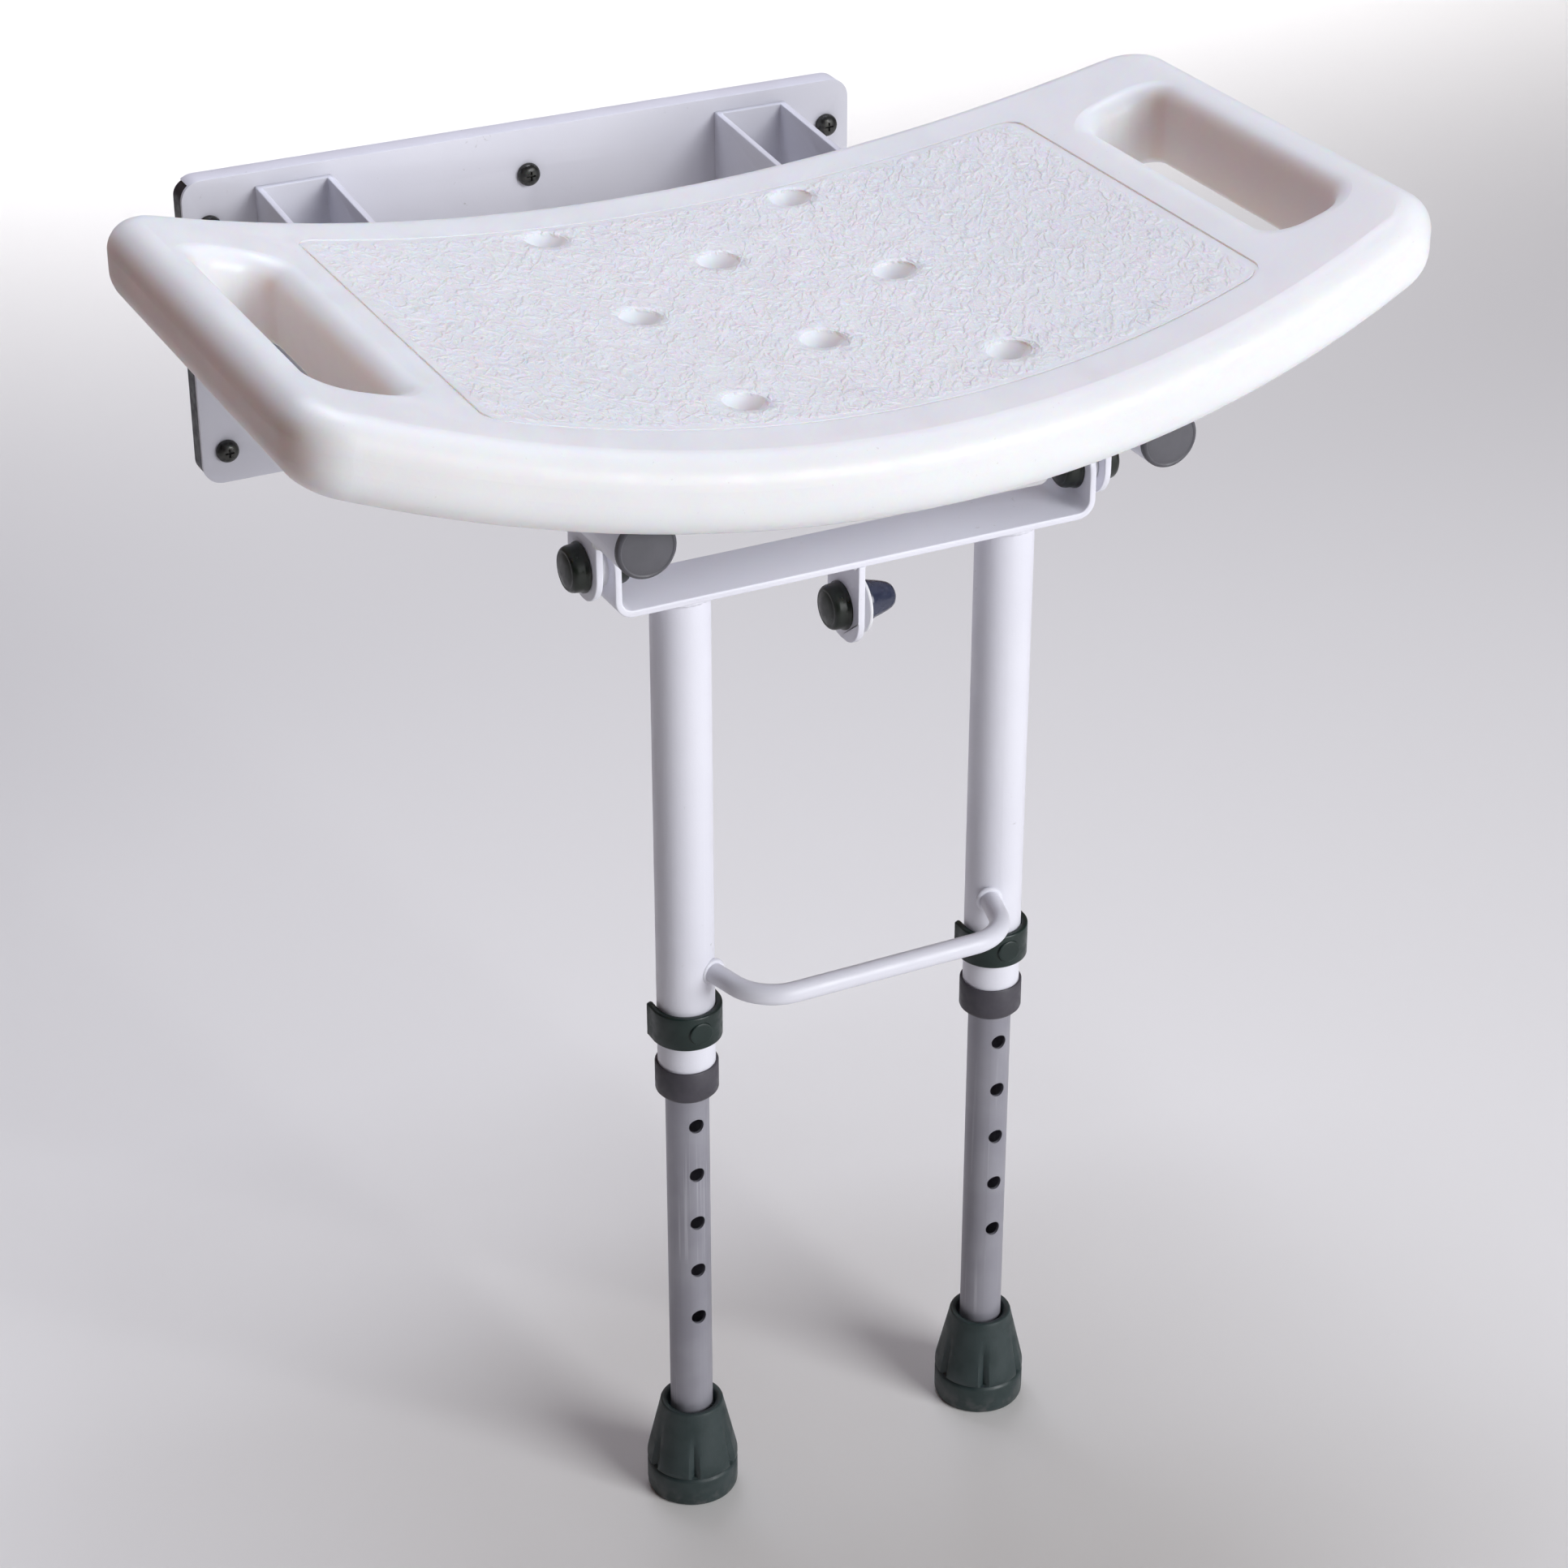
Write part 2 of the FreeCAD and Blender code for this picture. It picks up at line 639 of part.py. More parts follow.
def plate_end_caps():
    """Plastic blocks that close the pan's open ends."""
    body = new_body("right_end_cap")
    inner, outer = PLATE_X - size.end_cap_width, PLATE_X
    low, high = -size.plate_bottom + size.plate_skin, size.plate_top - size.plate_skin
    face = outline(body, "end_cap_face", "XZ_Plane", (
        (inner, low), (outer, low), (outer, high), (inner, high)))
    block = pad(body, face, size.plate_depth - size.plate_skin)

    def outer_corner(edge):
        return runs_along(edge, Vector(0, 1, 0)) and edge.Vertexes[0].Point.x > value_of(outer) - NEAR

    # The cap is narrower than the plate's corner, so its own rounding ends where the cap does.
    rounded(body, block, size.end_cap_width - size.fixed_gap, outer_corner)
    part("plate_end_caps", both_sides("end_caps", [body]))


def wall_screws():
    """Screws through the plate into the wall, each with a neck that fills its hole."""
    screws = []
    for number, (across, up) in enumerate(wall_screw_places()):
        head_place = (across, -size.plate_depth - size.screw_head_height, up)
        head = bar(f"wall_screw_head_{number}", size.screw_head / 2, size.screw_head_height,
                   head_place, TO_WALL)
        neck_place = (across, -size.plate_depth, up)
        neck_length = size.plate_skin + size.screw_neck_spare
        neck = bar(f"wall_screw_neck_{number}", size.screw_neck / 2, neck_length, neck_place, TO_WALL)
        reach = size.plate_depth + size.screw_reach
        shank = bar(f"wall_screw_shank_{number}", size.screw_shank / 2, reach, neck_place, TO_WALL)
        screws.append(fuse(f"wall_screw_{number}", [head, neck, shank]))
    part("wall_screws", group("wall_screw_set", screws))


def hinge_brackets():
    """Folded U on the plate: two tapering ears and the web between them."""
    body = new_body("right_bracket")
    tip = PIVOT_Y - size.ear_round
    side = outline(body, "bracket_side", "YZ_Plane", (
        (-size.plate_depth, -size.bracket_low), (-size.plate_depth, size.bracket_top),
        (tip, ARM_Z + size.ear_round), (tip, ARM_Z - size.ear_round)))
    block = pad(body, side, size.bracket_width)

    def at_tip(edge):
        return runs_along(edge, Vector(1, 0, 0)) and edge.Vertexes[0].Point.y < value_of(tip) + NEAR

    rounded(body, block, size.ear_round - size.fixed_gap, at_tip)
    web = -size.plate_depth - size.sheet_thickness
    far = tip - size.overrun
    inner, outer = size.sheet_thickness, size.bracket_width - size.sheet_thickness
    pocket_through(body, outline(body, "bracket_gap", "XY_Plane", (
        (inner, far), (outer, far), (outer, web), (inner, web))))
    hole = (PIVOT_Y, ARM_Z, BOLT_R + size.fixed_gap)
    pocket_through(body, circles(body, "bracket_pivot", "YZ_Plane", [hole]))
    place(body, (BRACKET_X, 0, 0))
    part_pair("hinge_bracket", body)


def pivot_bolt(name, start, grip, along, up):
    """Hexagon bolt along X: its head ends at start and its nut follows the grip."""
    head = hexagon(f"{name}_head", size.hex_height, (start - size.hex_height, along, up), ALONG_X)
    reach = grip + size.hex_height + size.bolt_end
    shank = bar(f"{name}_shank", BOLT_R, reach, (start, along, up), ALONG_X)
    return fuse(name, [head, shank])


def hexagon_nut(name, height, start, along, up):
    block = hexagon(f"{name}_block", height, (start, along, up), ALONG_X)
    bore = bar(f"{name}_bore", BOLT_R + size.fixed_gap, height, (start, along, up), ALONG_X)
    return cut(name, block, [bore])


def bolt_cap(name, start, along, up, turned):
    """Domed plastic cup over a bolt head or a nut."""
    outer, bore = size.cap_diameter / 2, size.cap_bore / 2
    deep = size.cap_length - size.cap_wall
    body = turned_piece(name, (
        (bore, 0), (outer, 0), (outer, size.cap_length), (0, size.cap_length), (0, deep), (bore, deep)),
        (start, along, up), turned)
    rounded(body, body.Tip, size.cap_round, at_rim(outer, size.cap_length))
    return body


def rear_pivots():
    bolt = pivot_bolt("right_rear_bolt", BRACKET_X, size.bracket_width, PIVOT_Y, ARM_Z)
    far_side = BRACKET_X + size.bracket_width
    nut = hexagon_nut("right_rear_nut", size.hex_height, far_side, PIVOT_Y, ARM_Z)
    caps = [bolt_cap("right_rear_inner_cap", BRACKET_X, PIVOT_Y, ARM_Z, AGAINST_X),
            bolt_cap("right_rear_outer_cap", far_side, PIVOT_Y, ARM_Z, ALONG_X)]
    part("rear_pivot_bolts", both_sides("rear_bolts", [bolt]))
    part("rear_pivot_nuts", both_sides("rear_nuts", [nut]))
    part("rear_pivot_caps", both_sides("rear_caps", caps))


def rear_pivot_bushes():
    """Top-hat bushes, one from each side of an arm tube."""
    bore = BOLT_R + size.running_gap
    sleeve = size.bush_diameter / 2 - size.fixed_gap
    flange = size.bush_flange / 2
    thick = size.bracket_width / 2 - size.sheet_thickness - size.moving_gap - TUBE_R
    profile = (
        (bore, -size.bush_reach), (sleeve, -size.bush_reach), (sleeve, 0),
        (flange, 0), (flange, thick), (bore, thick))
    bushes = [turned_piece("right_outer_bush", profile, (ARM_X + TUBE_R, PIVOT_Y, ARM_Z), ALONG_X),
              turned_piece("right_inner_bush", profile, (ARM_X - TUBE_R, PIVOT_Y, ARM_Z), AGAINST_X)]
    part("rear_pivot_bushes", both_sides("rear_bushes", bushes))


# Arms
def seat_screw_places():
    return (-size.seat_gap - size.seat_screw_inset, -size.arm_reach + size.seat_screw_margin)


def arm_tubes():
    """Straight tubes with a hole for the pivot bushes and two for the seat screws."""
    front = (ARM_X, -size.arm_reach, ARM_Z)
    length = size.arm_reach - size.rear_pivot_reach + size.arm_tail
    stock = bar("arm_stock", TUBE_R, length, front, TO_WALL)
    across = size.tube_diameter
    beside = (ARM_X - TUBE_R, PIVOT_Y, ARM_Z)
    tools = [bar("arm_bore", TUBE_BORE_R, length, front, TO_WALL),
             bar("arm_pivot_hole", size.bush_diameter / 2, across, beside, ALONG_X)]
    radius = size.seat_screw_shank / 2 + size.fixed_gap
    for number, along in enumerate(seat_screw_places()):
        tools.append(bar(f"arm_screw_hole_{number}", radius, across, (ARM_X, along, ARM_Z - TUBE_R)))
    part_pair("arm_tube", cut("arm_tube", stock, tools))


def tube_plug(name, spigot, along, turned):
    """Plastic plug: a disc over the tube's end and a spigot inside it."""
    inner = TUBE_BORE_R - size.fixed_gap
    body = turned_piece(name, (
        (0, -spigot), (inner, -spigot), (inner, 0),
        (TUBE_R, 0), (TUBE_R, size.plug_head), (0, size.plug_head)), (ARM_X, along, ARM_Z), turned)
    rounded(body, body.Tip, size.plug_round, at_rim(TUBE_R, size.plug_head))
    return body


def tube_plugs():
    front = tube_plug("right_front_plug", size.plug_spigot, -size.arm_reach, TO_FRONT)
    rear = tube_plug("right_rear_plug", size.tail_spigot, PIVOT_Y + size.arm_tail, TO_WALL)
    part("front_tube_plugs", both_sides("front_plugs", [front]))
    part("rear_tube_plugs", both_sides("rear_plugs", [rear]))


def seat_screws():
    screws = []
    for number, along in enumerate(seat_screw_places()):
        under = ARM_Z - TUBE_R
        head = bar(f"seat_screw_head_{number}", size.seat_screw_head / 2, size.seat_screw_head_height,
                   (ARM_X, along, under - size.seat_screw_head_height))
        reach = size.tube_diameter + size.seat_screw_bite - size.fixed_gap
        shank = bar(f"seat_screw_shank_{number}", size.seat_screw_shank / 2, reach, (ARM_X, along, under))
        screws.append(fuse(f"seat_screw_{number}", [head, shank]))
    part("seat_screws", both_sides("seat_screw_set", screws))


def hangers():
    """Flat ear welded under an arm tube, with the front pivot's hole."""
    body = new_body("right_hanger_body")
    half = size.hanger_width / 2
    low = FRONT_PIVOT_Z - half
    side = outline(body, "hanger_side", "YZ_Plane", (
        (LEG_Y - half, low), (LEG_Y + half, low), (LEG_Y + half, ARM_Z), (LEG_Y - half, ARM_Z)))
    block = pad(body, side, size.sheet_thickness)

    def at_bottom(edge):
        return runs_along(edge, Vector(1, 0, 0)) and edge.Vertexes[0].Point.z < value_of(low) + NEAR

    rounded(body, block, half - size.fixed_gap, at_bottom)
    hole = (LEG_Y, FRONT_PIVOT_Z, BOLT_R + size.running_gap)
    pocket_through(body, circles(body, "hanger_pivot", "YZ_Plane", [hole]))
    seat = (size.sheet_thickness / 2, ARM_Z, TUBE_R)
    pocket_through(body, circles(body, "hanger_seat", "XZ_Plane", [seat]))
    place(body, (HANGER_X, 0, 0))
    part_pair("hanger", body)


# Leg frame
def leg_crossbar():
    """Flat strip with both ends folded up into pivot ears."""
    body = new_body("crossbar_body")
    half, thick = CROSSBAR_X, size.sheet_thickness
    top = FRONT_PIVOT_Z + size.ear_round
    floor = CROSSBAR_Z + thick
    strip = outline(body, "crossbar_front", "XZ_Plane", (
        (-half, CROSSBAR_Z), (half, CROSSBAR_Z), (half, top), (half - thick, top),
        (half - thick, floor), (-half + thick, floor), (-half + thick, top), (-half, top)))
    block = pad(body, strip, size.crossbar_width)

    def folded(height, radius):
        def wanted(edge):
            level = abs(edge.Vertexes[0].Point.z - value_of(height)) < NEAR
            return level and runs_along(edge, Vector(0, 1, 0))

        return radius, wanted

    def ear_corner(edge):
        return runs_along(edge, Vector(1, 0, 0)) and edge.Vertexes[0].Point.z > value_of(top) - NEAR

    outside = rounded(body, block, *folded(CROSSBAR_Z, size.crossbar_bend))
    inside = rounded(body, outside, *folded(floor, size.crossbar_bend - thick))
    rounded(body, inside, size.ear_round - size.fixed_gap, ear_corner)
    hole = (size.crossbar_front - size.crossbar_width, FRONT_PIVOT_Z, BOLT_R + size.fixed_gap)
    pocket_through(body, circles(body, "crossbar_pivot", "YZ_Plane", [hole]))
    place(body, (0, LEG_Y - size.crossbar_front + size.crossbar_width, 0))
    part("leg_crossbar", body)


def upper_legs():
    """Tubes welded under the crossbar, with a hole in front for the locking pin."""
    foot = (LEG_X, LEG_Y, LEG_END_Z)
    length = CROSSBAR_Z - LEG_END_Z
    stock = bar("upper_leg_stock", TUBE_R, length, foot)
    bore = bar("upper_leg_bore", TUBE_BORE_R, length, foot)
    before = (LEG_X, LEG_Y - TUBE_R, PIN_Z)
    hole = bar("upper_leg_pin_hole", size.hole_diameter / 2, TUBE_R, before, TO_WALL)
    part_pair("upper_leg", cut("upper_leg", stock, [bore, hole]))


def brace_rod():
    """Bent round bar between the legs: a straight front run and a bend back to each leg."""
    height = value_of(PIN_Z) + value_of(size.rod_rise)
    front = value_of(LEG_Y) - value_of(size.rod_reach)
    corner = Vector(value_of(LEG_X) - value_of(size.rod_corner_inset), front, height)
    end = Vector(value_of(LEG_X) - value_of(size.rod_inset), value_of(LEG_Y), height)
    bend = value_of(size.rod_bend)
    back = (end - corner).normalize()
    along = Vector(-1, 0, 0)
    turn = math.pi - back.getAngle(along)
    setback = bend * math.tan(turn / 2)
    on_back, on_front = corner + back * setback, corner + along * setback
    inward = (back + along).normalize()
    middle = corner + inward * (bend / math.cos(turn / 2) - bend)

    def mirror(point):
        return Vector(-point.x, point.y, point.z)

    path = Part.Wire([
        Part.LineSegment(mirror(end), mirror(on_back)).toShape(),
        Part.Arc(mirror(on_back), mirror(middle), mirror(on_front)).toShape(),
        Part.LineSegment(mirror(on_front), on_front).toShape(),
        Part.Arc(on_front, middle, on_back).toShape(),
        Part.LineSegment(on_back, end).toShape(),
    ])
    ring = Part.Wire(Part.makeCircle(value_of(size.rod_diameter) / 2, mirror(end), mirror(back)))
    rod = path.makePipeShell([ring], True, False)
    leg_length = value_of(CROSSBAR_Z - LEG_END_Z)
    legs = []
    for across in (-value_of(LEG_X), value_of(LEG_X)):
        foot = Vector(across, value_of(LEG_Y), value_of(LEG_END_Z))
        legs.append(Part.makeCylinder(value_of(TUBE_R), leg_length, foot))
    thing = doc.addObject("Part::Feature", "brace_rod")
    thing.Shape = rod.cut(legs).Solids[0]
    part("brace_rod", thing)


def front_pivots():
    """Bolts through the crossbar's ears and the hangers, with spacers, nuts and caps."""
    grip = NUT_X - CROSSBAR_EAR_X
    bolt = pivot_bolt("right_front_bolt", CROSSBAR_EAR_X, grip, LEG_Y, FRONT_PIVOT_Z)
    nut = hexagon_nut("right_front_nut", size.hex_height, NUT_X, LEG_Y, FRONT_PIVOT_Z)
    caps = [bolt_cap("right_front_inner_cap", CROSSBAR_EAR_X, LEG_Y, FRONT_PIVOT_Z, AGAINST_X),
            bolt_cap("right_front_outer_cap", NUT_X, LEG_Y, FRONT_PIVOT_Z, ALONG_X)]
    beside = (CROSSBAR_X, LEG_Y, FRONT_PIVOT_Z)
    ring = bar("right_spacer_ring", size.spacer_diameter / 2, size.spacer_length, beside, ALONG_X)
    bore = bar("right_spacer_bore", BOLT_R + size.fixed_gap, size.spacer_length, beside, ALONG_X)
    part("front_pivot_bolts", both_sides("front_bolts", [bolt]))
    part("front_pivot_nuts", both_sides("front_nuts", [nut]))
    part("front_pivot_caps", both_sides("front_caps", caps))
    part("front_pivot_spacers", both_sides("front_spacers", [cut("right_spacer", ring, [bore])]))


def stop_bracket():
    """Flared ear under the middle of the crossbar."""
    body = new_body("stop_body")
    front = LEG_Y - size.crossbar_front
    back = front + size.stop_width
    low = CROSSBAR_Z - size.stop_length
    side = outline(body, "stop_side", "YZ_Plane", (
        (front, low), (back, low), (back, CROSSBAR_Z - size.stop_flare_height),
        (back + size.stop_flare, CROSSBAR_Z), (front, CROSSBAR_Z)))
    block = pad(body, side, size.sheet_thickness)

    def at_bottom(edge):
        return runs_along(edge, Vector(1, 0, 0)) and edge.Vertexes[0].Point.z < value_of(low) + NEAR

    rounded(body, block, size.stop_round, at_bottom)
    hole = (LEG_Y, STOP_BOLT_Z, BOLT_R + size.fixed_gap)
    pocket_through(body, circles(body, "stop_hole", "YZ_Plane", [hole]))
    place(body, (-size.sheet_thickness / 2, 0, 0))
    part("stop_bracket", body)


def stop_hardware():
    """Bolt with its cap on one side, and nut, cup washer and rubber buffer on the other."""
    left, right = -size.sheet_thickness / 2, size.sheet_thickness / 2
    washer_x = right + size.stop_nut_height
    buffer_x = washer_x + size.washer_thickness
    beside = (left - size.hex_height, LEG_Y, STOP_BOLT_Z)
    head = hexagon("stop_bolt_head", size.hex_height, beside, ALONG_X)
    reach = buffer_x + size.buffer_socket - size.fixed_gap - left
    shank = bar("stop_bolt_shank", BOLT_R, reach, (left, LEG_Y, STOP_BOLT_Z), ALONG_X)
    part("stop_bolt", fuse("stop_bolt_body", [head, shank]))
    part("stop_bolt_cap", bolt_cap("stop_cap", left, LEG_Y, STOP_BOLT_Z, AGAINST_X))
    part("stop_nut", hexagon_nut("stop_nut_body", size.stop_nut_height, right, LEG_Y, STOP_BOLT_Z))
    hole = BOLT_R + size.fixed_gap
    on_nut = (washer_x, LEG_Y, STOP_BOLT_Z)
    disc = bar("washer_disc", size.washer_diameter / 2, size.washer_thickness, on_nut, ALONG_X)
    bore = bar("washer_bore", hole, size.washer_thickness, on_nut, ALONG_X)
    part("stop_washer", cut("washer_body", disc, [bore]))
    tip = size.buffer_tip / 2
    body = turned_piece("buffer_body", (
        (hole, 0), (size.buffer_base / 2, 0), (tip, size.buffer_length), (0, size.buffer_length),
        (0, size.buffer_socket), (hole, size.buffer_socket)), (buffer_x, LEG_Y, STOP_BOLT_Z), ALONG_X)
    rounded(body, body.Tip, size.buffer_round, at_rim(tip, size.buffer_length))
    part("rubber_buffer", body)


def collars():
    """Plastic bush on an upper leg's end, whose sleeve guides the lower leg."""
    bore = LOWER_LEG_R + size.moving_gap
    sleeve, tube = TUBE_BORE_R - size.fixed_gap, TUBE_R + size.fixed_gap
    outer = tube + size.collar_wall
    low, chamfer = -size.collar_lip, size.collar_chamfer
    rim = low + size.collar_height
    body = turned_piece("right_collar_body", (
        (bore, low), (outer - chamfer, low), (outer, low + chamfer), (outer, rim), (tube, rim), (tube, 0),
        (sleeve, 0), (sleeve, size.collar_sleeve), (bore, size.collar_sleeve)), (LEG_X, LEG_Y, LEG_END_Z))
    part_pair("collar", body)


def spring_clips():
    """Band round the front of an upper leg, open behind, with a button and the locking pin."""
    inner = TUBE_R + size.moving_gap
    outer = inner + size.clip_wall
    low = PIN_Z - size.clip_height / 2
    foot = (LEG_X, LEG_Y, low)
    band = bar("clip_band", outer, size.clip_height, foot)
    arms = primitive("Box", "clip_arms", (LEG_X - outer, LEG_Y, low),
                     Length=outer * 2, Width=size.clip_arm, Height=size.clip_height)
    before = (LEG_X, LEG_Y - outer - size.clip_button_rise, PIN_Z)
    button = bar("clip_button", size.clip_button / 2, size.clip_button_rise + size.clip_wall, before, TO_WALL)
    solid = fuse("clip_solid", [band, arms, button])
    room = bar("clip_room", inner, size.clip_height, foot)
    reach = outer + size.overrun
    gap = primitive("Box", "clip_gap", (LEG_X - inner, LEG_Y, low),
                    Length=inner * 2, Width=reach, Height=size.clip_height)
    behind = primitive("Box", "clip_behind", (LEG_X - reach, LEG_Y + size.clip_arm, low),
                       Length=reach * 2, Width=reach, Height=size.clip_height)
    in_band = (LEG_X, LEG_Y - inner - size.clip_wall / 2, PIN_Z)
    pin_length = size.clip_wall / 2 + size.moving_gap + size.pin_depth
    pin = bar("clip_pin", size.pin_diameter / 2, pin_length, in_band, TO_WALL)
    part_pair("spring_clip", fuse("spring_clip", [cut("clip_shell", solid, [room, gap, behind]), pin]))


def lower_legs():
    """Drilled tube, with one hole every pitch from the locking pin down."""
    body = new_body("right_lower_leg_body")
    top = PIN_Z + size.lower_leg_spare
    foot = FLOOR + size.ferrule_floor
    ring = [(0, 0, LOWER_LEG_R), (0, 0, LOWER_LEG_R - size.lower_leg_wall)]
    pad(body, circles(body, "lower_leg_ring", "XY_Plane", ring), top - foot)
    span = size.hole_pitch * (size.hole_count - 1)
    lowest = circles(body, "lower_leg_hole", "XZ_Plane", [(0, PIN_Z - span - foot, size.hole_diameter / 2)])
    hole = pocket_through(body, lowest)
    row = body.newObject("PartDesign::LinearPattern", "lower_leg_holes")
    row.Originals = [hole]
    row.Direction = (lowest, ["V_Axis"])
    bind(row, "Length", span)
    bind(row, "Occurrences", size.hole_count)
    body.Tip = row
    place(body, (LEG_X, LEG_Y, foot))
    part_pair("lower_leg", body)


def leg_glides():
    """Plug in a lower leg's top that guides it inside the upper leg."""
    head = TUBE_BORE_R - size.moving_gap
    spigot = LOWER_LEG_R - size.lower_leg_wall - size.fixed_gap
    body = turned_piece("right_glide_body", (
        (0, -size.glide_spigot), (spigot, -size.glide_spigot), (spigot, 0), (head, 0),
        (head, size.glide_head), (0, size.glide_head)), (LEG_X, LEG_Y, PIN_Z + size.lower_leg_spare))
    part_pair("leg_glide", body)


def ferrules():
    """Rubber foot: a band with a line above it, then a cone up to the leg."""
    base, sole, top = size.ferrule_base / 2, size.ferrule_sole / 2, size.ferrule_top / 2
    line = size.ferrule_line
    socket = LOWER_LEG_R + size.fixed_gap
    body = turned_piece("right_ferrule_body", (
        (0, 0), (sole, 0), (base, size.ferrule_edge), (base, size.ferrule_band),
        (base - line, size.ferrule_band + line / 2), (base, size.ferrule_band + line),
        (base, size.ferrule_shoulder), (top, size.ferrule_height), (socket, size.ferrule_height),
        (socket, size.ferrule_floor), (0, size.ferrule_floor)), (LEG_X, LEG_Y, FLOOR))
    part_pair("ferrule", body)


def check_and_export():
    """Stops on any failed object or shape, then writes one file per piece."""
    doc.recompute()
    for thing in doc.Objects:
        failed = {"Invalid", "Error"} & set(thing.State)
        if failed:
            raise RuntimeError(f"{thing.Name} is {sorted(failed)}")
    for name, thing in parts.items():
        if thing.Shape.isNull() or not thing.Shape.isValid() or not thing.Shape.Solids:
            raise RuntimeError(f"{name} has no valid solid")
    os.makedirs("parts", exist_ok=True)
    for name, thing in parts.items():
        thing.Shape.exportStep(f"parts/{name}.step")
        print(name, len(thing.Shape.Solids), round(thing.Shape.Volume))


for make in (
        wall_plate, plate_end_caps, wall_screws, hinge_brackets, rear_pivots, rear_pivot_bushes,
        seat_board, arm_tubes, tube_plugs, seat_screws, hangers,
        leg_crossbar, upper_legs, brace_rod, front_pivots, stop_bracket, stop_hardware,
        collars, spring_clips, lower_legs, leg_glides, ferrules):
    make()
check_and_export()
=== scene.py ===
import bmesh
import bpy
import math
from mathutils import Matrix, Vector


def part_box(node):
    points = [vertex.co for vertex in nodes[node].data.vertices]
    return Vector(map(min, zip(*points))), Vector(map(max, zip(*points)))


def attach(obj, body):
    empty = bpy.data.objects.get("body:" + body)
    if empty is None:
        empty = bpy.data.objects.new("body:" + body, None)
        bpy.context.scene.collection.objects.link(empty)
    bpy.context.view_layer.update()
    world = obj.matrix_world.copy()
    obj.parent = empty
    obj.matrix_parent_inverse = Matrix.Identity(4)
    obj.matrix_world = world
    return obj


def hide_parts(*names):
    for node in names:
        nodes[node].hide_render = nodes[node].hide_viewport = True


# Looks of the folding shower seat: metres, Z up, -Y into the room, the wall at Y = 0.
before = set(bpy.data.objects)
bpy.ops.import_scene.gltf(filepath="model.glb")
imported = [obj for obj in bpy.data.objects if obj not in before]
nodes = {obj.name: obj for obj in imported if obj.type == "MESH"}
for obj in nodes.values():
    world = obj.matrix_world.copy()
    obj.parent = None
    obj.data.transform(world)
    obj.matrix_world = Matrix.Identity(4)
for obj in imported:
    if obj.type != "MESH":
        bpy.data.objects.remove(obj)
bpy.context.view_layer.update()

MM = 0.001
FLOOR_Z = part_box("left_ferrule")[0].z
LEG_X = (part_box("right_ferrule")[0].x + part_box("right_ferrule")[1].x) / 2
LEG_Y = (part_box("right_ferrule")[0].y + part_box("right_ferrule")[1].y) / 2


# Camera, floor and light
PHOTO_PIXELS = 1932
SENSOR_MM = 36.0
FOCAL_PIXELS = 4603.6
CAMERA_PLACE = Vector((-0.6364, -1.5556, 0.6527))
CAMERA_YAW = 0.46278
CAMERA_PITCH = 0.5065


def photo_camera():
    """Camera where the photographer stood."""
    forward = Vector((
        math.sin(CAMERA_YAW) * math.cos(CAMERA_PITCH),
        math.cos(CAMERA_YAW) * math.cos(CAMERA_PITCH),
        -math.sin(CAMERA_PITCH)))
    right = forward.cross(Vector((0, 0, 1))).normalized()
    up = right.cross(forward)
    turned = Matrix((right, up, -forward)).transposed()
    bpy.ops.object.camera_add()
    camera = bpy.context.object
    camera.name = "photo_camera"
    camera.matrix_world = Matrix.Translation(CAMERA_PLACE) @ turned.to_4x4()
    camera.data.sensor_width = SENSOR_MM
    camera.data.lens = SENSOR_MM * FOCAL_PIXELS / PHOTO_PIXELS
    camera.data.clip_start = 0.05
    camera.data.clip_end = 50
    bpy.context.scene.camera = camera


def pale_floor():
    """Wide pale floor under the feet."""
    bpy.ops.mesh.primitive_plane_add(size=30, location=(0, 0, FLOOR_Z - 0.2 * MM))
    floor = bpy.context.object
    floor.name = "studio_floor"
    bpy.ops.object.transform_apply(location=True, rotation=True, scale=True)
    material = bpy.data.materials.new("studio_floor_paint")
    material.use_nodes = True
    shader = material.node_tree.nodes["Principled BSDF"]
    shader.inputs["Base Color"].default_value = (0.88, 0.865, 0.85, 1)
    shader.inputs["Roughness"].default_value = 0.75
    shader.inputs["Specular IOR Level"].default_value = 0.2
    floor.data.materials.append(material)


def soft_light(name, place, aim, width, height, watts, colour, spread=180):
    """Rectangular softbox that faces a point; the spread is in degrees."""
    bpy.ops.object.light_add(type="AREA", location=place)
    lamp = bpy.context.object
    lamp.name = name
    lamp.data.shape = "RECTANGLE"
    lamp.data.size = width
    lamp.data.size_y = height
    lamp.data.energy = watts
    lamp.data.color = colour
    lamp.data.spread = math.radians(spread)
    lamp.rotation_euler = (Vector(aim) - Vector(place)).to_track_quat("-Z", "Y").to_euler()


WALL_SIDE = Vector((0.1, 1.0, 0.3)).normalized()


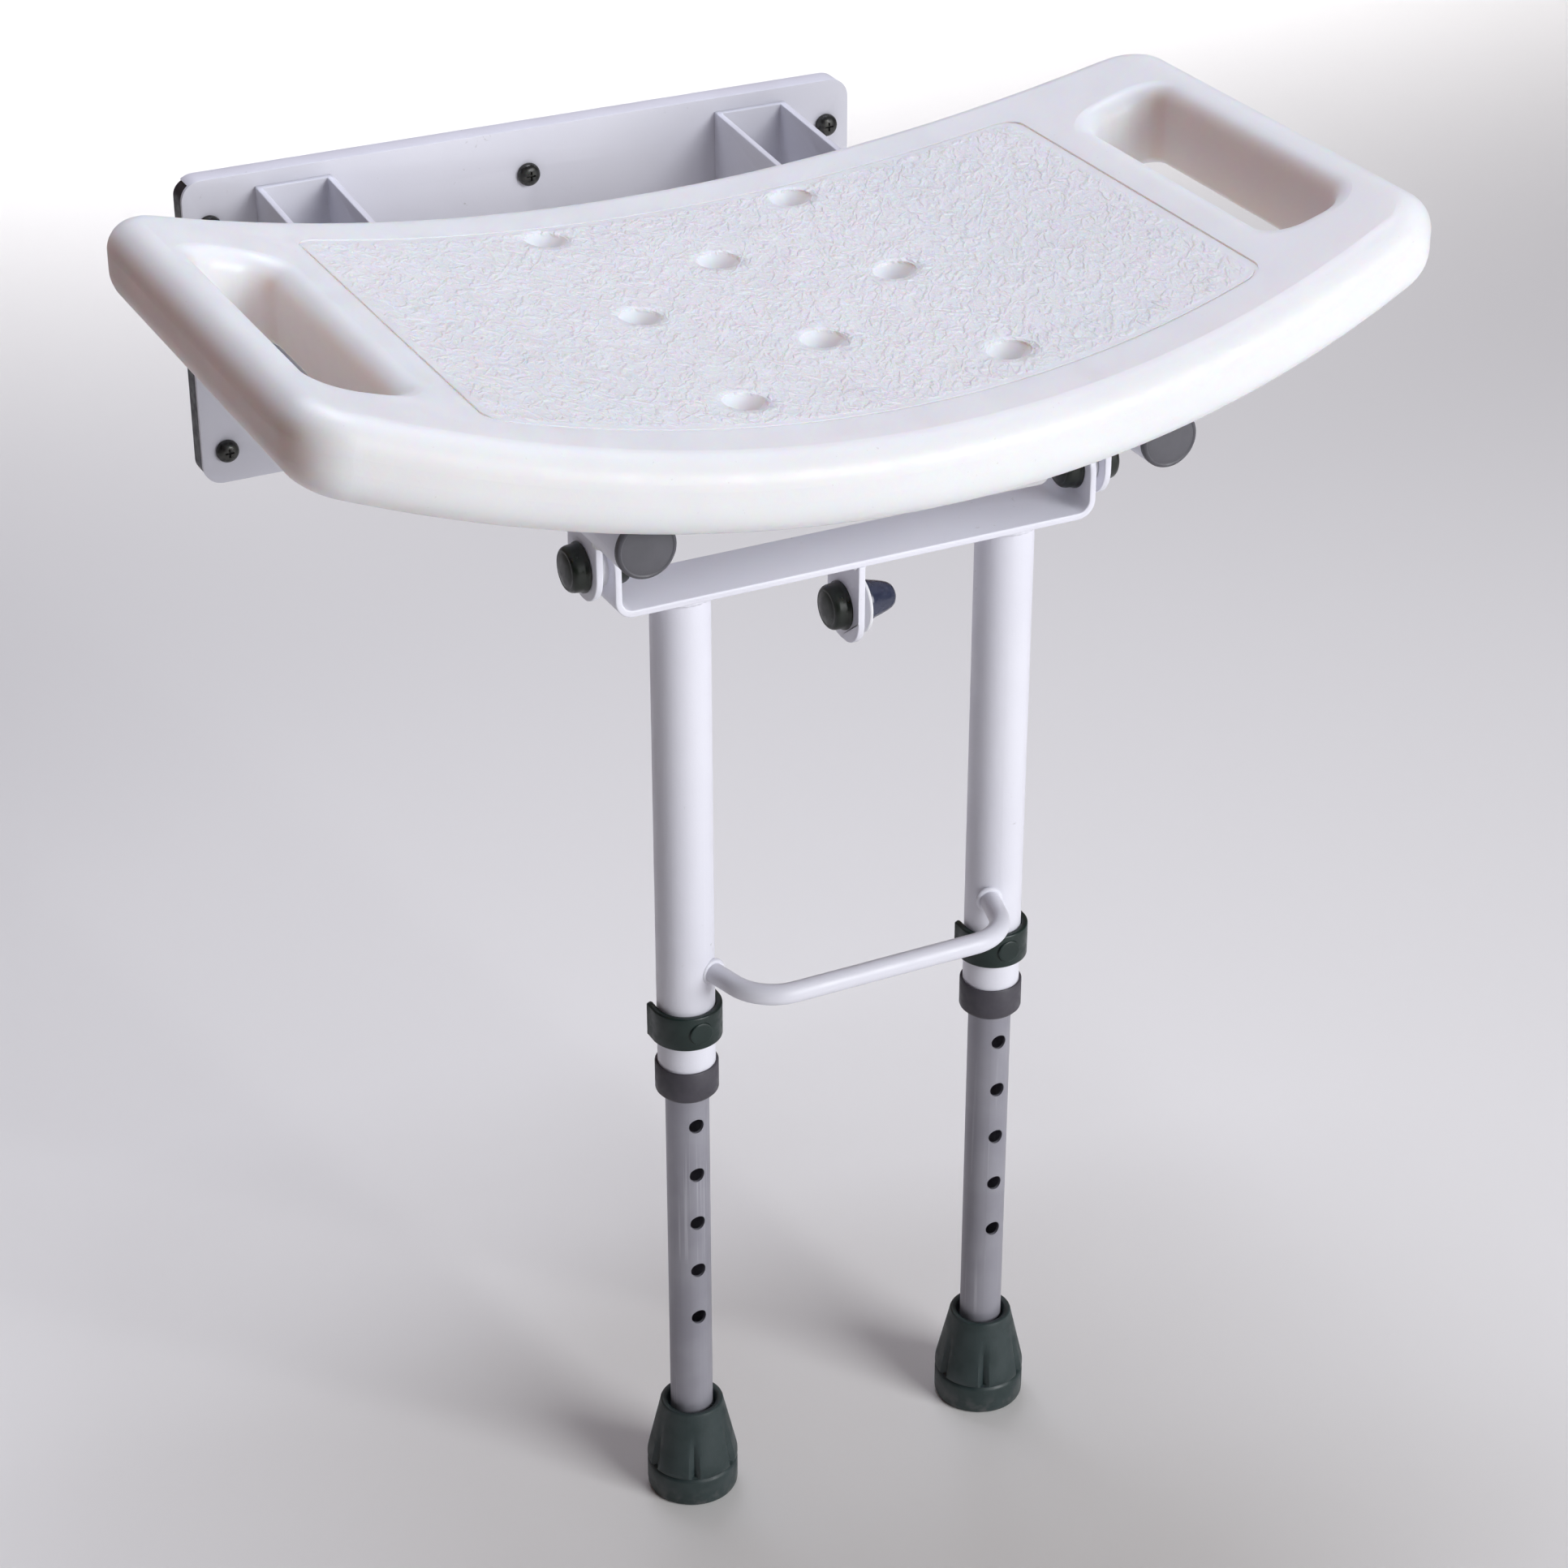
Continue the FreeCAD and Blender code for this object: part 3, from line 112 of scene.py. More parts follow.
def room_glow():
    """Dim surroundings with a faint warm glow from behind."""
    world = bpy.data.worlds.new("studio_world")
    world.use_nodes = True
    tree = world.node_tree
    place = tree.nodes.new("ShaderNodeTexCoord").outputs["Generated"]
    along = tree.nodes.new("ShaderNodeVectorMath")
    along.operation = "DOT_PRODUCT"
    along.inputs[1].default_value = WALL_SIDE
    tree.links.new(place, along.inputs[0])
    behind = tree.nodes.new("ShaderNodeMath")
    behind.operation = "MAXIMUM"
    tree.links.new(along.outputs["Value"], behind.inputs[0])
    behind.inputs[1].default_value = 0
    glow = tree.nodes.new("ShaderNodeMath")
    glow.operation = "POWER"
    tree.links.new(behind.outputs["Value"], glow.inputs[0])
    glow.inputs[1].default_value = 2
    tone = tree.nodes.new("ShaderNodeMix")
    tone.data_type = "RGBA"
    tree.links.new(glow.outputs["Value"], tone.inputs[0])
    tone.inputs[6].default_value = (0.045, 0.04, 0.045, 1)
    tone.inputs[7].default_value = (0.22, 0.135, 0.09, 1)
    tree.links.new(tone.outputs[2], tree.nodes["Background"].inputs["Color"])
    bpy.context.scene.world = world


def studio():
    """Large far key from the front, a narrow one on the floor behind, a bluish one above, dim surroundings."""
    room_glow()
    seat = (0, -0.27, 0)
    far_floor = (1.0, 2.6, FLOOR_Z)
    soft_light("key_softbox", (1.5, -3.5, 1.2), seat, 2.0, 2.0, 127, (0.965, 0.98, 1.0))
    soft_light("backdrop_softbox", (1.0, 2.6, 1.7), far_floor, 2.4, 2.4, 30, (0.97, 0.98, 1.0), 50)
    soft_light("top_softbox", (0.15, 0.5, 1.9), seat, 1.2, 1.2, 32, (0.84, 0.88, 1.0))
    bpy.context.scene.view_settings.view_transform = "Standard"


# Materials
class Finish:
    """A node material built step by step around one Principled shader."""

    def __init__(self, name, roughness, specular=0.5, metallic=0.0):
        self.material = bpy.data.materials.new(name)
        self.material.use_nodes = True
        self.tree = self.material.node_tree
        self.shader = self.tree.nodes["Principled BSDF"]
        self.shader.inputs["Roughness"].default_value = roughness
        self.shader.inputs["Specular IOR Level"].default_value = specular
        self.shader.inputs["Metallic"].default_value = metallic
        self.place = self.tree.nodes.new("ShaderNodeTexCoord").outputs["Object"]

    def link(self, source, socket):
        if hasattr(source, "is_output"):
            self.tree.links.new(source, socket)
        else:
            socket.default_value = source

    def mapping(self, scale, turn=(0, 0, 0), shift=(0, 0, 0), source=None):
        node = self.tree.nodes.new("ShaderNodeMapping")
        self.link(source or self.place, node.inputs["Vector"])
        node.inputs["Location"].default_value = shift
        node.inputs["Rotation"].default_value = turn
        node.inputs["Scale"].default_value = scale
        return node.outputs["Vector"]

    def noise(self, scale, detail=2.0, distortion=0.0, source=None):
        node = self.tree.nodes.new("ShaderNodeTexNoise")
        self.link(source or self.place, node.inputs["Vector"])
        node.inputs["Scale"].default_value = scale
        node.inputs["Detail"].default_value = detail
        node.inputs["Distortion"].default_value = distortion
        return node.outputs["Fac"]

    def warped(self, source, scale, amount):
        """A place pushed about by noise."""
        node = self.tree.nodes.new("ShaderNodeTexNoise")
        self.link(source, node.inputs["Vector"])
        node.inputs["Scale"].default_value = scale
        node.inputs["Detail"].default_value = 1.0
        push = self.tree.nodes.new("ShaderNodeVectorMath")
        push.operation = "MULTIPLY_ADD"
        self.tree.links.new(node.outputs["Color"], push.inputs[0])
        push.inputs[1].default_value = (amount, amount, amount)
        self.tree.links.new(source, push.inputs[2])
        return push.outputs["Vector"]

    def cells(self, scale):
        node = self.tree.nodes.new("ShaderNodeTexVoronoi")
        self.link(self.place, node.inputs["Vector"])
        node.inputs["Scale"].default_value = scale
        return node.outputs["Distance"]

    def math(self, operation, first, second=None, third=None):
        node = self.tree.nodes.new("ShaderNodeMath")
        node.operation = operation
        self.link(first, node.inputs[0])
        if second is not None:
            self.link(second, node.inputs[1])
        if third is not None:
            self.link(third, node.inputs[2])
        return node.outputs["Value"]

    def spread(self, source, low, high, to_low=0.0, to_high=1.0):
        """Maps a value softly from one range to another."""
        node = self.tree.nodes.new("ShaderNodeMapRange")
        node.interpolation_type = "SMOOTHSTEP"
        self.link(source, node.inputs["Value"])
        node.inputs["From Min"].default_value = low
        node.inputs["From Max"].default_value = high
        node.inputs["To Min"].default_value = to_low
        node.inputs["To Max"].default_value = to_high
        return node.outputs["Result"]

    def mix(self, share, first, second):
        node = self.tree.nodes.new("ShaderNodeMix")
        node.data_type = "RGBA"
        self.link(share, node.inputs[0])
        self.link(first, node.inputs[6])
        self.link(second, node.inputs[7])
        return node.outputs[2]

    def axes(self):
        node = self.tree.nodes.new("ShaderNodeSeparateXYZ")
        self.link(self.place, node.inputs["Vector"])
        return node.outputs["X"], node.outputs["Y"], node.outputs["Z"]

    def facing_x(self):
        """How far the surface faces along the object's X axis."""
        node = self.tree.nodes.new("ShaderNodeSeparateXYZ")
        self.link(self.tree.nodes.new("ShaderNodeTexCoord").outputs["Normal"], node.inputs["Vector"])
        return node.outputs["X"]

    def bump(self, height, depth, under=None):
        """Relief of a height between 0 and 1, its depth in metres."""
        node = self.tree.nodes.new("ShaderNodeBump")
        node.inputs["Strength"].default_value = 1.0
        node.inputs["Distance"].default_value = depth
        self.link(height, node.inputs["Height"])
        if under is not None:
            self.link(under, node.inputs["Normal"])
        return node.outputs["Normal"]

    def colour(self, source):
        self.link(source, self.shader.inputs["Base Color"])

    def roughness(self, source):
        self.link(source, self.shader.inputs["Roughness"])

    def relief(self, source):
        self.link(source, self.shader.inputs["Normal"])


def rgb(red, green, blue):
    return (red, green, blue, 1.0)


def powder_coat():
    """White powder coat: faint orange peel, soft patches and small scuffs."""
    finish = Finish("white_powder_coat", 0.38)
    patches = finish.spread(finish.noise(9, 3), 0.35, 0.7)
    clean = finish.mix(patches, rgb(0.755, 0.752, 0.825), rgb(0.79, 0.787, 0.855))
    scuffs = finish.math("MULTIPLY", finish.spread(finish.noise(260, 4, 0.6), 0.66, 0.74),
                         finish.spread(finish.noise(26, 2), 0.52, 0.66))
    finish.colour(finish.mix(scuffs, clean, rgb(0.60, 0.59, 0.63)))
    finish.roughness(finish.spread(finish.noise(60, 4), 0.3, 0.75, 0.33, 0.5))
    peel = finish.bump(finish.noise(1500, 2), 0.03 * MM)
    finish.relief(finish.bump(scuffs, 0.05 * MM, under=peel))
    return finish.material


def seat_plastic():
    """White moulded polyethylene: end and slot walls painted warmer and darker as painted shade, wrinkle ridges
    painted lighter as a painted highlight, smooth border, wrinkled relief in the panel's outline.
    """
    finish = Finish("seat_plastic", 0.42, 0.45)
    across, along, up = finish.axes()
    panel = panel_mask(finish, across, along, up)
    relief = wrinkles(finish)
    relief_and_highlight = finish.math("MULTIPLY", panel, relief)
    tone = finish.spread(finish.noise(11, 3), 0.3, 0.7)
    body = finish.mix(tone, rgb(0.812, 0.826, 0.850), rgb(0.842, 0.858, 0.878))
    # Faces turned along X, the end walls and slot walls, are painted warmer and darker: painted shade.
    painted_side_shade = finish.spread(finish.math("ABSOLUTE", finish.facing_x()), 0.6, 0.97, 0.0, 0.65)
    body = finish.mix(painted_side_shade, body, rgb(0.75, 0.685, 0.645))
    specks = finish.spread(finish.noise(700, 2), 0.73, 0.78)
    body = finish.mix(specks, body, rgb(0.74, 0.73, 0.745))
    # Wrinkle ridges in the panel are painted lighter: a painted highlight on the relief.
    finish.colour(finish.mix(finish.math("MULTIPLY", relief_and_highlight, 0.2), body, rgb(0.93, 0.93, 0.945)))
    finish.roughness(finish.spread(finish.noise(90, 4), 0.3, 0.75, 0.36, 0.52))
    grain = finish.bump(finish.noise(900, 3), 0.03 * MM)
    lips = finish.bump(drain_lips(finish, across, along, up), 1.1 * MM, under=grain)
    finish.relief(finish.bump(relief_and_highlight, 0.42 * MM, under=lips))
    finish.shader.inputs["Subsurface Weight"].default_value = 0.5
    finish.shader.inputs["Subsurface Radius"].default_value = (0.034, 0.012, 0.005)
    finish.shader.inputs["Subsurface Scale"].default_value = 1.0
    return finish.material


# The board's dished top, the panel's outline and the drains in it, and where the masks fade out
DISH_BOTTOM, DISH_CURVE = 0.083, 0.7205
HALF_BOARD = 0.2485
PANEL_HALF, PANEL_CORNER = 0.1684, 0.010
PANEL_BACK, PANEL_BACK_BEND = -0.1546, -0.032
PANEL_FRONT, PANEL_FRONT_BEND = -0.3904, 0.036
DRAIN_PITCH, DRAIN_ASIDE = 0.0966, 0.0581
FIRST_DRAIN_Y, DRAINS_CENTRE_Y = -0.2183, -0.2666
ROWS_INNER, ROWS_OUTER = 0.111, 0.113
LIP_INNER, LIP_OUTER = 0.0086, 0.0125
EDGE_FADE = (-0.0045, -0.0015)
TOP_FADE = (-0.0012, -0.0003)
UNDERSIDE_FADE = (-0.02, -0.015)


def dish_height(finish, across):
    """Height of the dished top at a place across the board."""
    squared = finish.math("POWER", finish.math("ABSOLUTE", across), 2)
    return finish.math("MULTIPLY_ADD", squared, DISH_CURVE, DISH_BOTTOM)


def panel_mask(finish, across, along, up):
    """1 inside the panel's rounded outline on the dished top, 0 elsewhere."""
    square = finish.math("POWER", finish.math("DIVIDE", across, HALF_BOARD), 2)
    back_edge = finish.math("MULTIPLY_ADD", square, PANEL_BACK_BEND, PANEL_BACK)
    front_edge = finish.math("MULTIPLY_ADD", square, PANEL_FRONT_BEND, PANEL_FRONT)
    centre_y = finish.math("MULTIPLY", finish.math("ADD", back_edge, front_edge), 0.5)
    half_depth = finish.math("MULTIPLY", finish.math("SUBTRACT", back_edge, front_edge), 0.5)
    reach = finish.math("SUBTRACT", half_depth, PANEL_CORNER)
    off_x = finish.math("ABSOLUTE", across)
    off_y = finish.math("ABSOLUTE", finish.math("SUBTRACT", along, centre_y))
    beyond_x = finish.math("MAXIMUM", finish.math("SUBTRACT", off_x, PANEL_HALF - PANEL_CORNER), 0)
    beyond_y = finish.math("MAXIMUM", finish.math("SUBTRACT", off_y, reach), 0)
    squares = finish.math("ADD", finish.math("POWER", beyond_x, 2), finish.math("POWER", beyond_y, 2))
    distance = finish.math("SUBTRACT", finish.math("SQRT", squares), PANEL_CORNER)
    inside = finish.spread(distance, *EDGE_FADE, 1.0, 0.0)
    on_top = finish.spread(finish.math("SUBTRACT", up, dish_height(finish, across)), *TOP_FADE)
    return finish.math("MULTIPLY", inside, on_top)


def drain_lips(finish, across, along, up):
    """0 in the drain mouths on the top, rising to 1 around them, for the mouths' rolled lips."""
    half_pitch = DRAIN_PITCH / 2
    reach = finish.math("ABSOLUTE", across)
    outer = finish.math("GREATER_THAN", reach, DRAIN_ASIDE / 2)
    off_x = finish.math("MULTIPLY_ADD", outer, -DRAIN_ASIDE, reach)
    row = finish.math("MULTIPLY_ADD", outer, half_pitch, along)
    off_row = finish.math("ADD", row, half_pitch - FIRST_DRAIN_Y)
    off_y = finish.math("SUBTRACT", finish.math("FLOORED_MODULO", off_row, DRAIN_PITCH), half_pitch)
    squares = finish.math("ADD", finish.math("POWER", off_x, 2), finish.math("POWER", off_y, 2))
    lip = finish.spread(finish.math("SQRT", squares), LIP_INNER, LIP_OUTER)
    from_centre = finish.math("ABSOLUTE", finish.math("ADD", along, -DRAINS_CENTRE_Y))
    past_rows = finish.spread(from_centre, ROWS_INNER, ROWS_OUTER)
    below_top = finish.math("SUBTRACT", up, dish_height(finish, across))
    underside = finish.spread(below_top, *UNDERSIDE_FADE, 1.0, 0.0)
    return finish.math("MAXIMUM", finish.math("MAXIMUM", lip, past_rows), underside)


# Layers of strokes: scale across and along a stroke, its turn, its seed, and the noise where it starts and is full
STROKES = (
    (250, 80, 0.35, 0.0, 0.56, 0.72),
    (270, 85, 0.75, 3.7, 0.57, 0.73),
    (260, 80, -0.55, 8.1, 0.57, 0.73),
    (280, 90, -0.15, 5.3, 0.57, 0.73),
    (330, 22, 0.6, 2.2, 0.60, 0.76))


def wrinkles(finish):
    """Raised squiggles: short bent strokes in several directions, a few long ones, and fine pebbles."""
    total = None
    for across, along, turn, seed, low, high in STROKES:
        bent = finish.warped(finish.mapping((1, 1, 1), (0, 0, 0), (seed, seed * 0.6, 0)), 150, 0.0045)
        turned = finish.mapping((1, 1, 1), (0, 0, turn), (0, 0, 0), bent)
        place = finish.mapping((across, along, 40), (0, 0, 0), (seed, 0, 0), turned)
        stroke = finish.spread(finish.noise(1.0, 1.0, 0.0, place), low, high)
        total = stroke if total is None else finish.math("MAXIMUM", total, stroke)
    grit = finish.noise(1.0, 2.0, 0.0, finish.mapping((680, 360, 300)))
    pebble = finish.math("MULTIPLY", finish.spread(grit, 0.42, 0.72), 0.5)
    return finish.math("ADD", total, pebble)


def moulded_plastic(name, dark, light, roughness):
    """Satin moulded plastic in one of the small parts' colours."""
    finish = Finish(name, roughness, 0.5)
    tone = finish.spread(finish.noise(60, 3), 0.3, 0.7)
    finish.colour(finish.mix(tone, dark, light))
    finish.roughness(finish.spread(finish.noise(300, 3), 0.3, 0.7, roughness - 0.07, roughness + 0.1))
    finish.relief(finish.bump(finish.noise(2200, 2), 0.03 * MM))
    return finish.material


def satin_aluminium():
    """Anodised tube: fine lines along it and rubbed marks where the upper leg slides."""
    finish = Finish("satin_aluminium", 0.42, 0.5, 0.35)
    lines = finish.noise(1.0, 4, 0.0, finish.mapping((900, 900, 9)))
    cloud = finish.spread(finish.noise(35, 3), 0.3, 0.7)
    base = finish.mix(cloud, rgb(0.31, 0.305, 0.35), rgb(0.36, 0.355, 0.40))
    rubbed = finish.math("MULTIPLY", finish.spread(lines, 0.56, 0.7), finish.spread(finish.noise(18, 2), 0.5, 0.62))
    finish.colour(finish.mix(rubbed, base, rgb(0.46, 0.455, 0.50)))
    finish.roughness(finish.spread(lines, 0.3, 0.7, 0.36, 0.52))
    finish.relief(finish.bump(lines, 0.02 * MM))
    return finish.material


def foot_rubber():
    """Dark greenish rubber, dusty towards the floor."""
    finish = Finish("foot_rubber", 0.5, 0.5)
    up = finish.axes()[2]
    cloud = finish.spread(finish.noise(70, 4), 0.3, 0.72)
    body = finish.mix(cloud, rgb(0.016, 0.030, 0.030), rgb(0.030, 0.046, 0.047))
    low = finish.spread(finish.math("SUBTRACT", up, FLOOR_Z), 0.0, 0.012, 1.0, 0.0)
    dust = finish.math("MULTIPLY", low, finish.spread(finish.noise(190, 4), 0.42, 0.68))
    finish.colour(finish.mix(dust, body, rgb(0.075, 0.08, 0.08)))
    finish.roughness(finish.spread(finish.noise(160, 3), 0.3, 0.7, 0.40, 0.58))
    finish.relief(finish.bump(finish.noise(1300, 3), 0.05 * MM))
    return finish.material


def plated_steel(name, dark, light, metallic=1.0):
    finish = Finish(name, 0.34, 0.5, metallic)
    spangle = finish.spread(finish.cells(420), 0.1, 0.7)
    finish.colour(finish.mix(spangle, dark, light))
    finish.roughness(finish.spread(finish.noise(500, 3), 0.3, 0.7, 0.26, 0.44))
    finish.relief(finish.bump(finish.noise(1800, 2), 0.015 * MM))
    return finish.material


def dress(finish, *names):
    """Gives CAD nodes their finished material."""
    for name in names:
        mesh = nodes[name].data
        mesh.materials.clear()
        mesh.materials.append(finish)


# Modelling steps
SMOOTH_BELOW = math.radians(32)
SEAM = 0.002 * MM


def deselect_all():
    if bpy.context.mode != "OBJECT":
        bpy.ops.object.mode_set(mode="OBJECT")
    bpy.ops.object.select_all(action="DESELECT")


def begin(name):
    """Names the primitive just added, puts its place into its mesh and opens it for shaping."""
    piece = bpy.context.object
    piece.name = name
    bpy.ops.object.transform_apply(location=True, rotation=True, scale=True)
    bpy.ops.object.mode_set(mode="EDIT")
    return piece


def close(piece, finish, smooth=SMOOTH_BELOW):
    """Merges doubles, turns the faces outwards, smooths the piece and gives it its material."""
    if bpy.context.mode != "EDIT_MESH":
        bpy.ops.object.mode_set(mode="EDIT")
    bpy.ops.mesh.select_all(action="SELECT")
    bpy.ops.mesh.remove_doubles(threshold=SEAM)
    bpy.ops.mesh.normals_make_consistent(inside=False)
    bpy.ops.object.mode_set(mode="OBJECT")
    bpy.ops.object.shade_smooth_by_angle(angle=smooth)
    piece.data.materials.clear()
    piece.data.materials.append(finish)
    return piece


def pick(piece, kind, wanted):
    """Selects the vertices or faces of the open piece that pass a test."""
    mesh = bmesh.from_edit_mesh(piece.data)
    bpy.ops.mesh.select_all(action="DESELECT")
    bpy.ops.mesh.select_mode(type=kind)
    for element in (mesh.verts if kind == "VERT" else mesh.faces):
        element.select = wanted(element)
    mesh.select_flush(kind == "VERT")
    bmesh.update_edit_mesh(piece.data)


def drawn_out(name, start, along, profile, sides=72, ring=False):
    """A turned piece: a disc, or a ring, drawn out step by step along its axis.

    The profile holds a radius and a place along the axis for each step.
    """
    deselect_all()
    start, along = Vector(start), Vector(along)
    radius, place = profile[0]
    turned = along.to_track_quat("Z", "Y").to_euler()
    bpy.ops.mesh.primitive_circle_add(vertices=sides, radius=radius, fill_type="NOTHING" if ring else "NGON",
                                      location=start + along * place, rotation=turned)
    piece = begin(name)
    bpy.ops.mesh.select_all(action="SELECT")
    for next_radius, next_place in profile[1:]:
        step = along * (next_place - place)
        bpy.ops.mesh.extrude_region_move(TRANSFORM_OT_translate={"value": step})
        share = next_radius / radius
        across = [1 if abs(part) > 0.5 else share for part in along]
        bpy.ops.transform.resize(value=across, center_override=start + along * next_place)
        radius, place = next_radius, next_place
    return piece


def in_mm(profile):
    """A profile's steps, given in millimetres, in metres."""
    return [(radius * MM, place * MM) for radius, place in profile]


def rounded_by(piece, width, segments=2, angle=35):
    """Bevels the sharp edges of a piece and applies the modifier."""
    if bpy.context.mode != "OBJECT":
        bpy.ops.object.mode_set(mode="OBJECT")
    bevel = piece.modifiers.new("edge_round", "BEVEL")
    bevel.width = width
    bevel.segments = segments
    bevel.limit_method = "ANGLE"
    bevel.angle_limit = math.radians(angle)
    bpy.ops.object.modifier_apply(modifier=bevel.name)


def copied(piece, name, shift=(0, 0, 0), flip=(1, 1, 1)):
    """A copy with its own mesh, mirrored through the origin and moved."""
    deselect_all()
    piece.select_set(True)
    bpy.context.view_layer.objects.active = piece
    bpy.ops.object.duplicate()
    twin = bpy.context.object
    twin.name = name
    bpy.ops.object.mode_set(mode="EDIT")
    bpy.ops.mesh.select_all(action="SELECT")
    if tuple(flip) != (1, 1, 1):
        bpy.ops.transform.resize(value=flip, center_override=(0, 0, 0))
        bpy.ops.mesh.normals_make_consistent(inside=False)
    bpy.ops.transform.translate(value=shift)
    bpy.ops.object.mode_set(mode="OBJECT")
    return twin


def stands_for(piece, body, slot, *replaced):
    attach(piece, body)
    if replaced:
        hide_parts(*replaced)


def middle(node):
    low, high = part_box(node)
    return (low + high) / 2


def softened(node, body, finish, width):
    """A copy of a sheet-metal node whose sharp edges are rounded as its coat rounds them."""
    deselect_all()
    piece = bpy.data.objects.new(f"{node}_coated", nodes[node].data.copy())
    bpy.context.collection.objects.link(piece)
    piece.select_set(True)
    bpy.context.view_layer.objects.active = piece
    bpy.ops.object.mode_set(mode="EDIT")
    bpy.ops.mesh.select_all(action="SELECT")
    bpy.ops.mesh.remove_doubles(threshold=SEAM)
    bpy.ops.mesh.dissolve_limited(angle_limit=math.radians(0.3))
    rounded_by(piece, width, 3, 42)
    close(piece, finish)
    stands_for(piece, body, "white_powder_coat", node)


# Rubber feet and leg fittings
CREASE_SIDES = 96
CREASE_COUNT = 6
CREASE_TURN = math.radians(-112)
# Creases and cone in millimetres, heights from the floor
CREASE_DEPTH = 2.3
CREASE_TOP, CREASE_RUN = 38.5, 21
CONE_FOOT, CONE_NARROWING = 20.5, 6.1
CONE_START, CONE_LENGTH = 18, 27
CONE_STEPS = (20, 22.5, 25, 27.5, 30, 32.5, 35, 37.5, 40, 42.5, 45)


def ferrule(side, finish):
    """Rubber foot: ringed sole, band, ledge, creased cone and a rolled lip around the leg."""
    node = f"{side}_ferrule"
    axis = middle(node)
    foot = Vector((axis.x, axis.y, FLOOR_Z))
    cone = [(CONE_FOOT - CONE_NARROWING * (up - CONE_START) / CONE_LENGTH, up) for up in CONE_STEPS]
    profile = [(6, 1.0), (9, 1.0), (9.8, 0.1), (12.6, 0.1), (13.4, 1.0), (15.4, 1.0), (16.2, 0), (19.2, 0),
               (19.9, 0.5), (20.35, 1.5), (20.5, 3), (20.5, 8), (20.5, 12.6), (20.3, 13.5), (19.9, 14.0),
               (19.55, 14.4), (19.75, 14.9), (20.25, 15.2), (20.5, 15.8), (20.5, 17), (20.45, 18)]
    profile += cone + [(14.25, 45.9), (13.95, 46.6), (13.4, 46.97), (12.9, 47), (12.2, 46.9), (11.4, 46.4),
                       (10.9, 45.4), (10.6, 43.8), (10.2, 42.6), (9.56, 42.2), (9.56, 8.2)]
    piece = drawn_out(f"{side}_rubber_foot", foot, (0, 0, 1), in_mm(profile), CREASE_SIDES)
    for up in (15.8, 17, 18) + CONE_STEPS[:8]:
        deep = CREASE_DEPTH * min(1.0, (CREASE_TOP - up) / CREASE_RUN)
        for offset, share in ((0, 1.0), (1, 0.42)):
            crease(piece, foot, up, offset, deep * share)
    close(piece, finish, math.radians(28))
    stands_for(piece, f"{side}_foot", "foot_rubber", node)


def crease(piece, foot, up, offset, deep):
    """Draws the vertices beside the six creases towards the axis, at one height of the foot."""
    step = 2 * math.pi / CREASE_SIDES
    between = 2 * math.pi / CREASE_COUNT
    radius = []

    def beside(vertex):
        place = vertex.co - foot
        if abs(place.z - up * MM) > 0.05 * MM:
            return False
        turn = (math.atan2(place.y, place.x) - CREASE_TURN + between / 2) % between - between / 2
        chosen = abs(abs(turn) - offset * step) < step / 2
        if chosen:
            radius.append(place.xy.length)
        return chosen

    pick(piece, "VERT", beside)
    share = 1 - deep * MM / max(radius)
    bpy.ops.transform.resize(value=(share, share, 1), center_override=foot)


def collar(side, finish):
    """Plastic bush: chamfered foot, plain band, thin lip over the painted tube and a neck inside it."""
    node = f"{side}_collar"
    low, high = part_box(node)
    foot = Vector((middle(node).x, middle(node).y, low.z))
    outer = (high.x - low.x) / 2
    height, top, ledge = 15.5 * MM, high.z - low.z, 2.45 * MM
    bore, neck, tube = 9.8 * MM, 10.9 * MM, 12.56 * MM
    profile = [(bore, 0), (outer - 1.9 * MM, 0), (outer - 1.5 * MM, 0.15 * MM), (outer - 0.25 * MM, 1.5 * MM),
               (outer, 2.2 * MM), (outer, height - 0.6 * MM), (outer - 0.3 * MM, height - 0.1 * MM),
               (outer - 0.7 * MM, height), (tube, height - 0.3 * MM), (tube, ledge),
               (neck, ledge), (neck, top), (bore, top), (bore, 0)]
    piece = drawn_out(f"{side}_end_bush", foot, (0, 0, 1), profile, 96, ring=True)
    close(piece, finish, math.radians(38))
    stands_for(piece, "leg_frame", "dark_plastic", node)


CLIP_WALL = 2.8 * MM
CLIP_CHEEK = 5.2 * MM
CLIP_LIP, CLIP_FLARE = 1.2 * MM, 0.5 * MM
CLIP_ROWS = 4


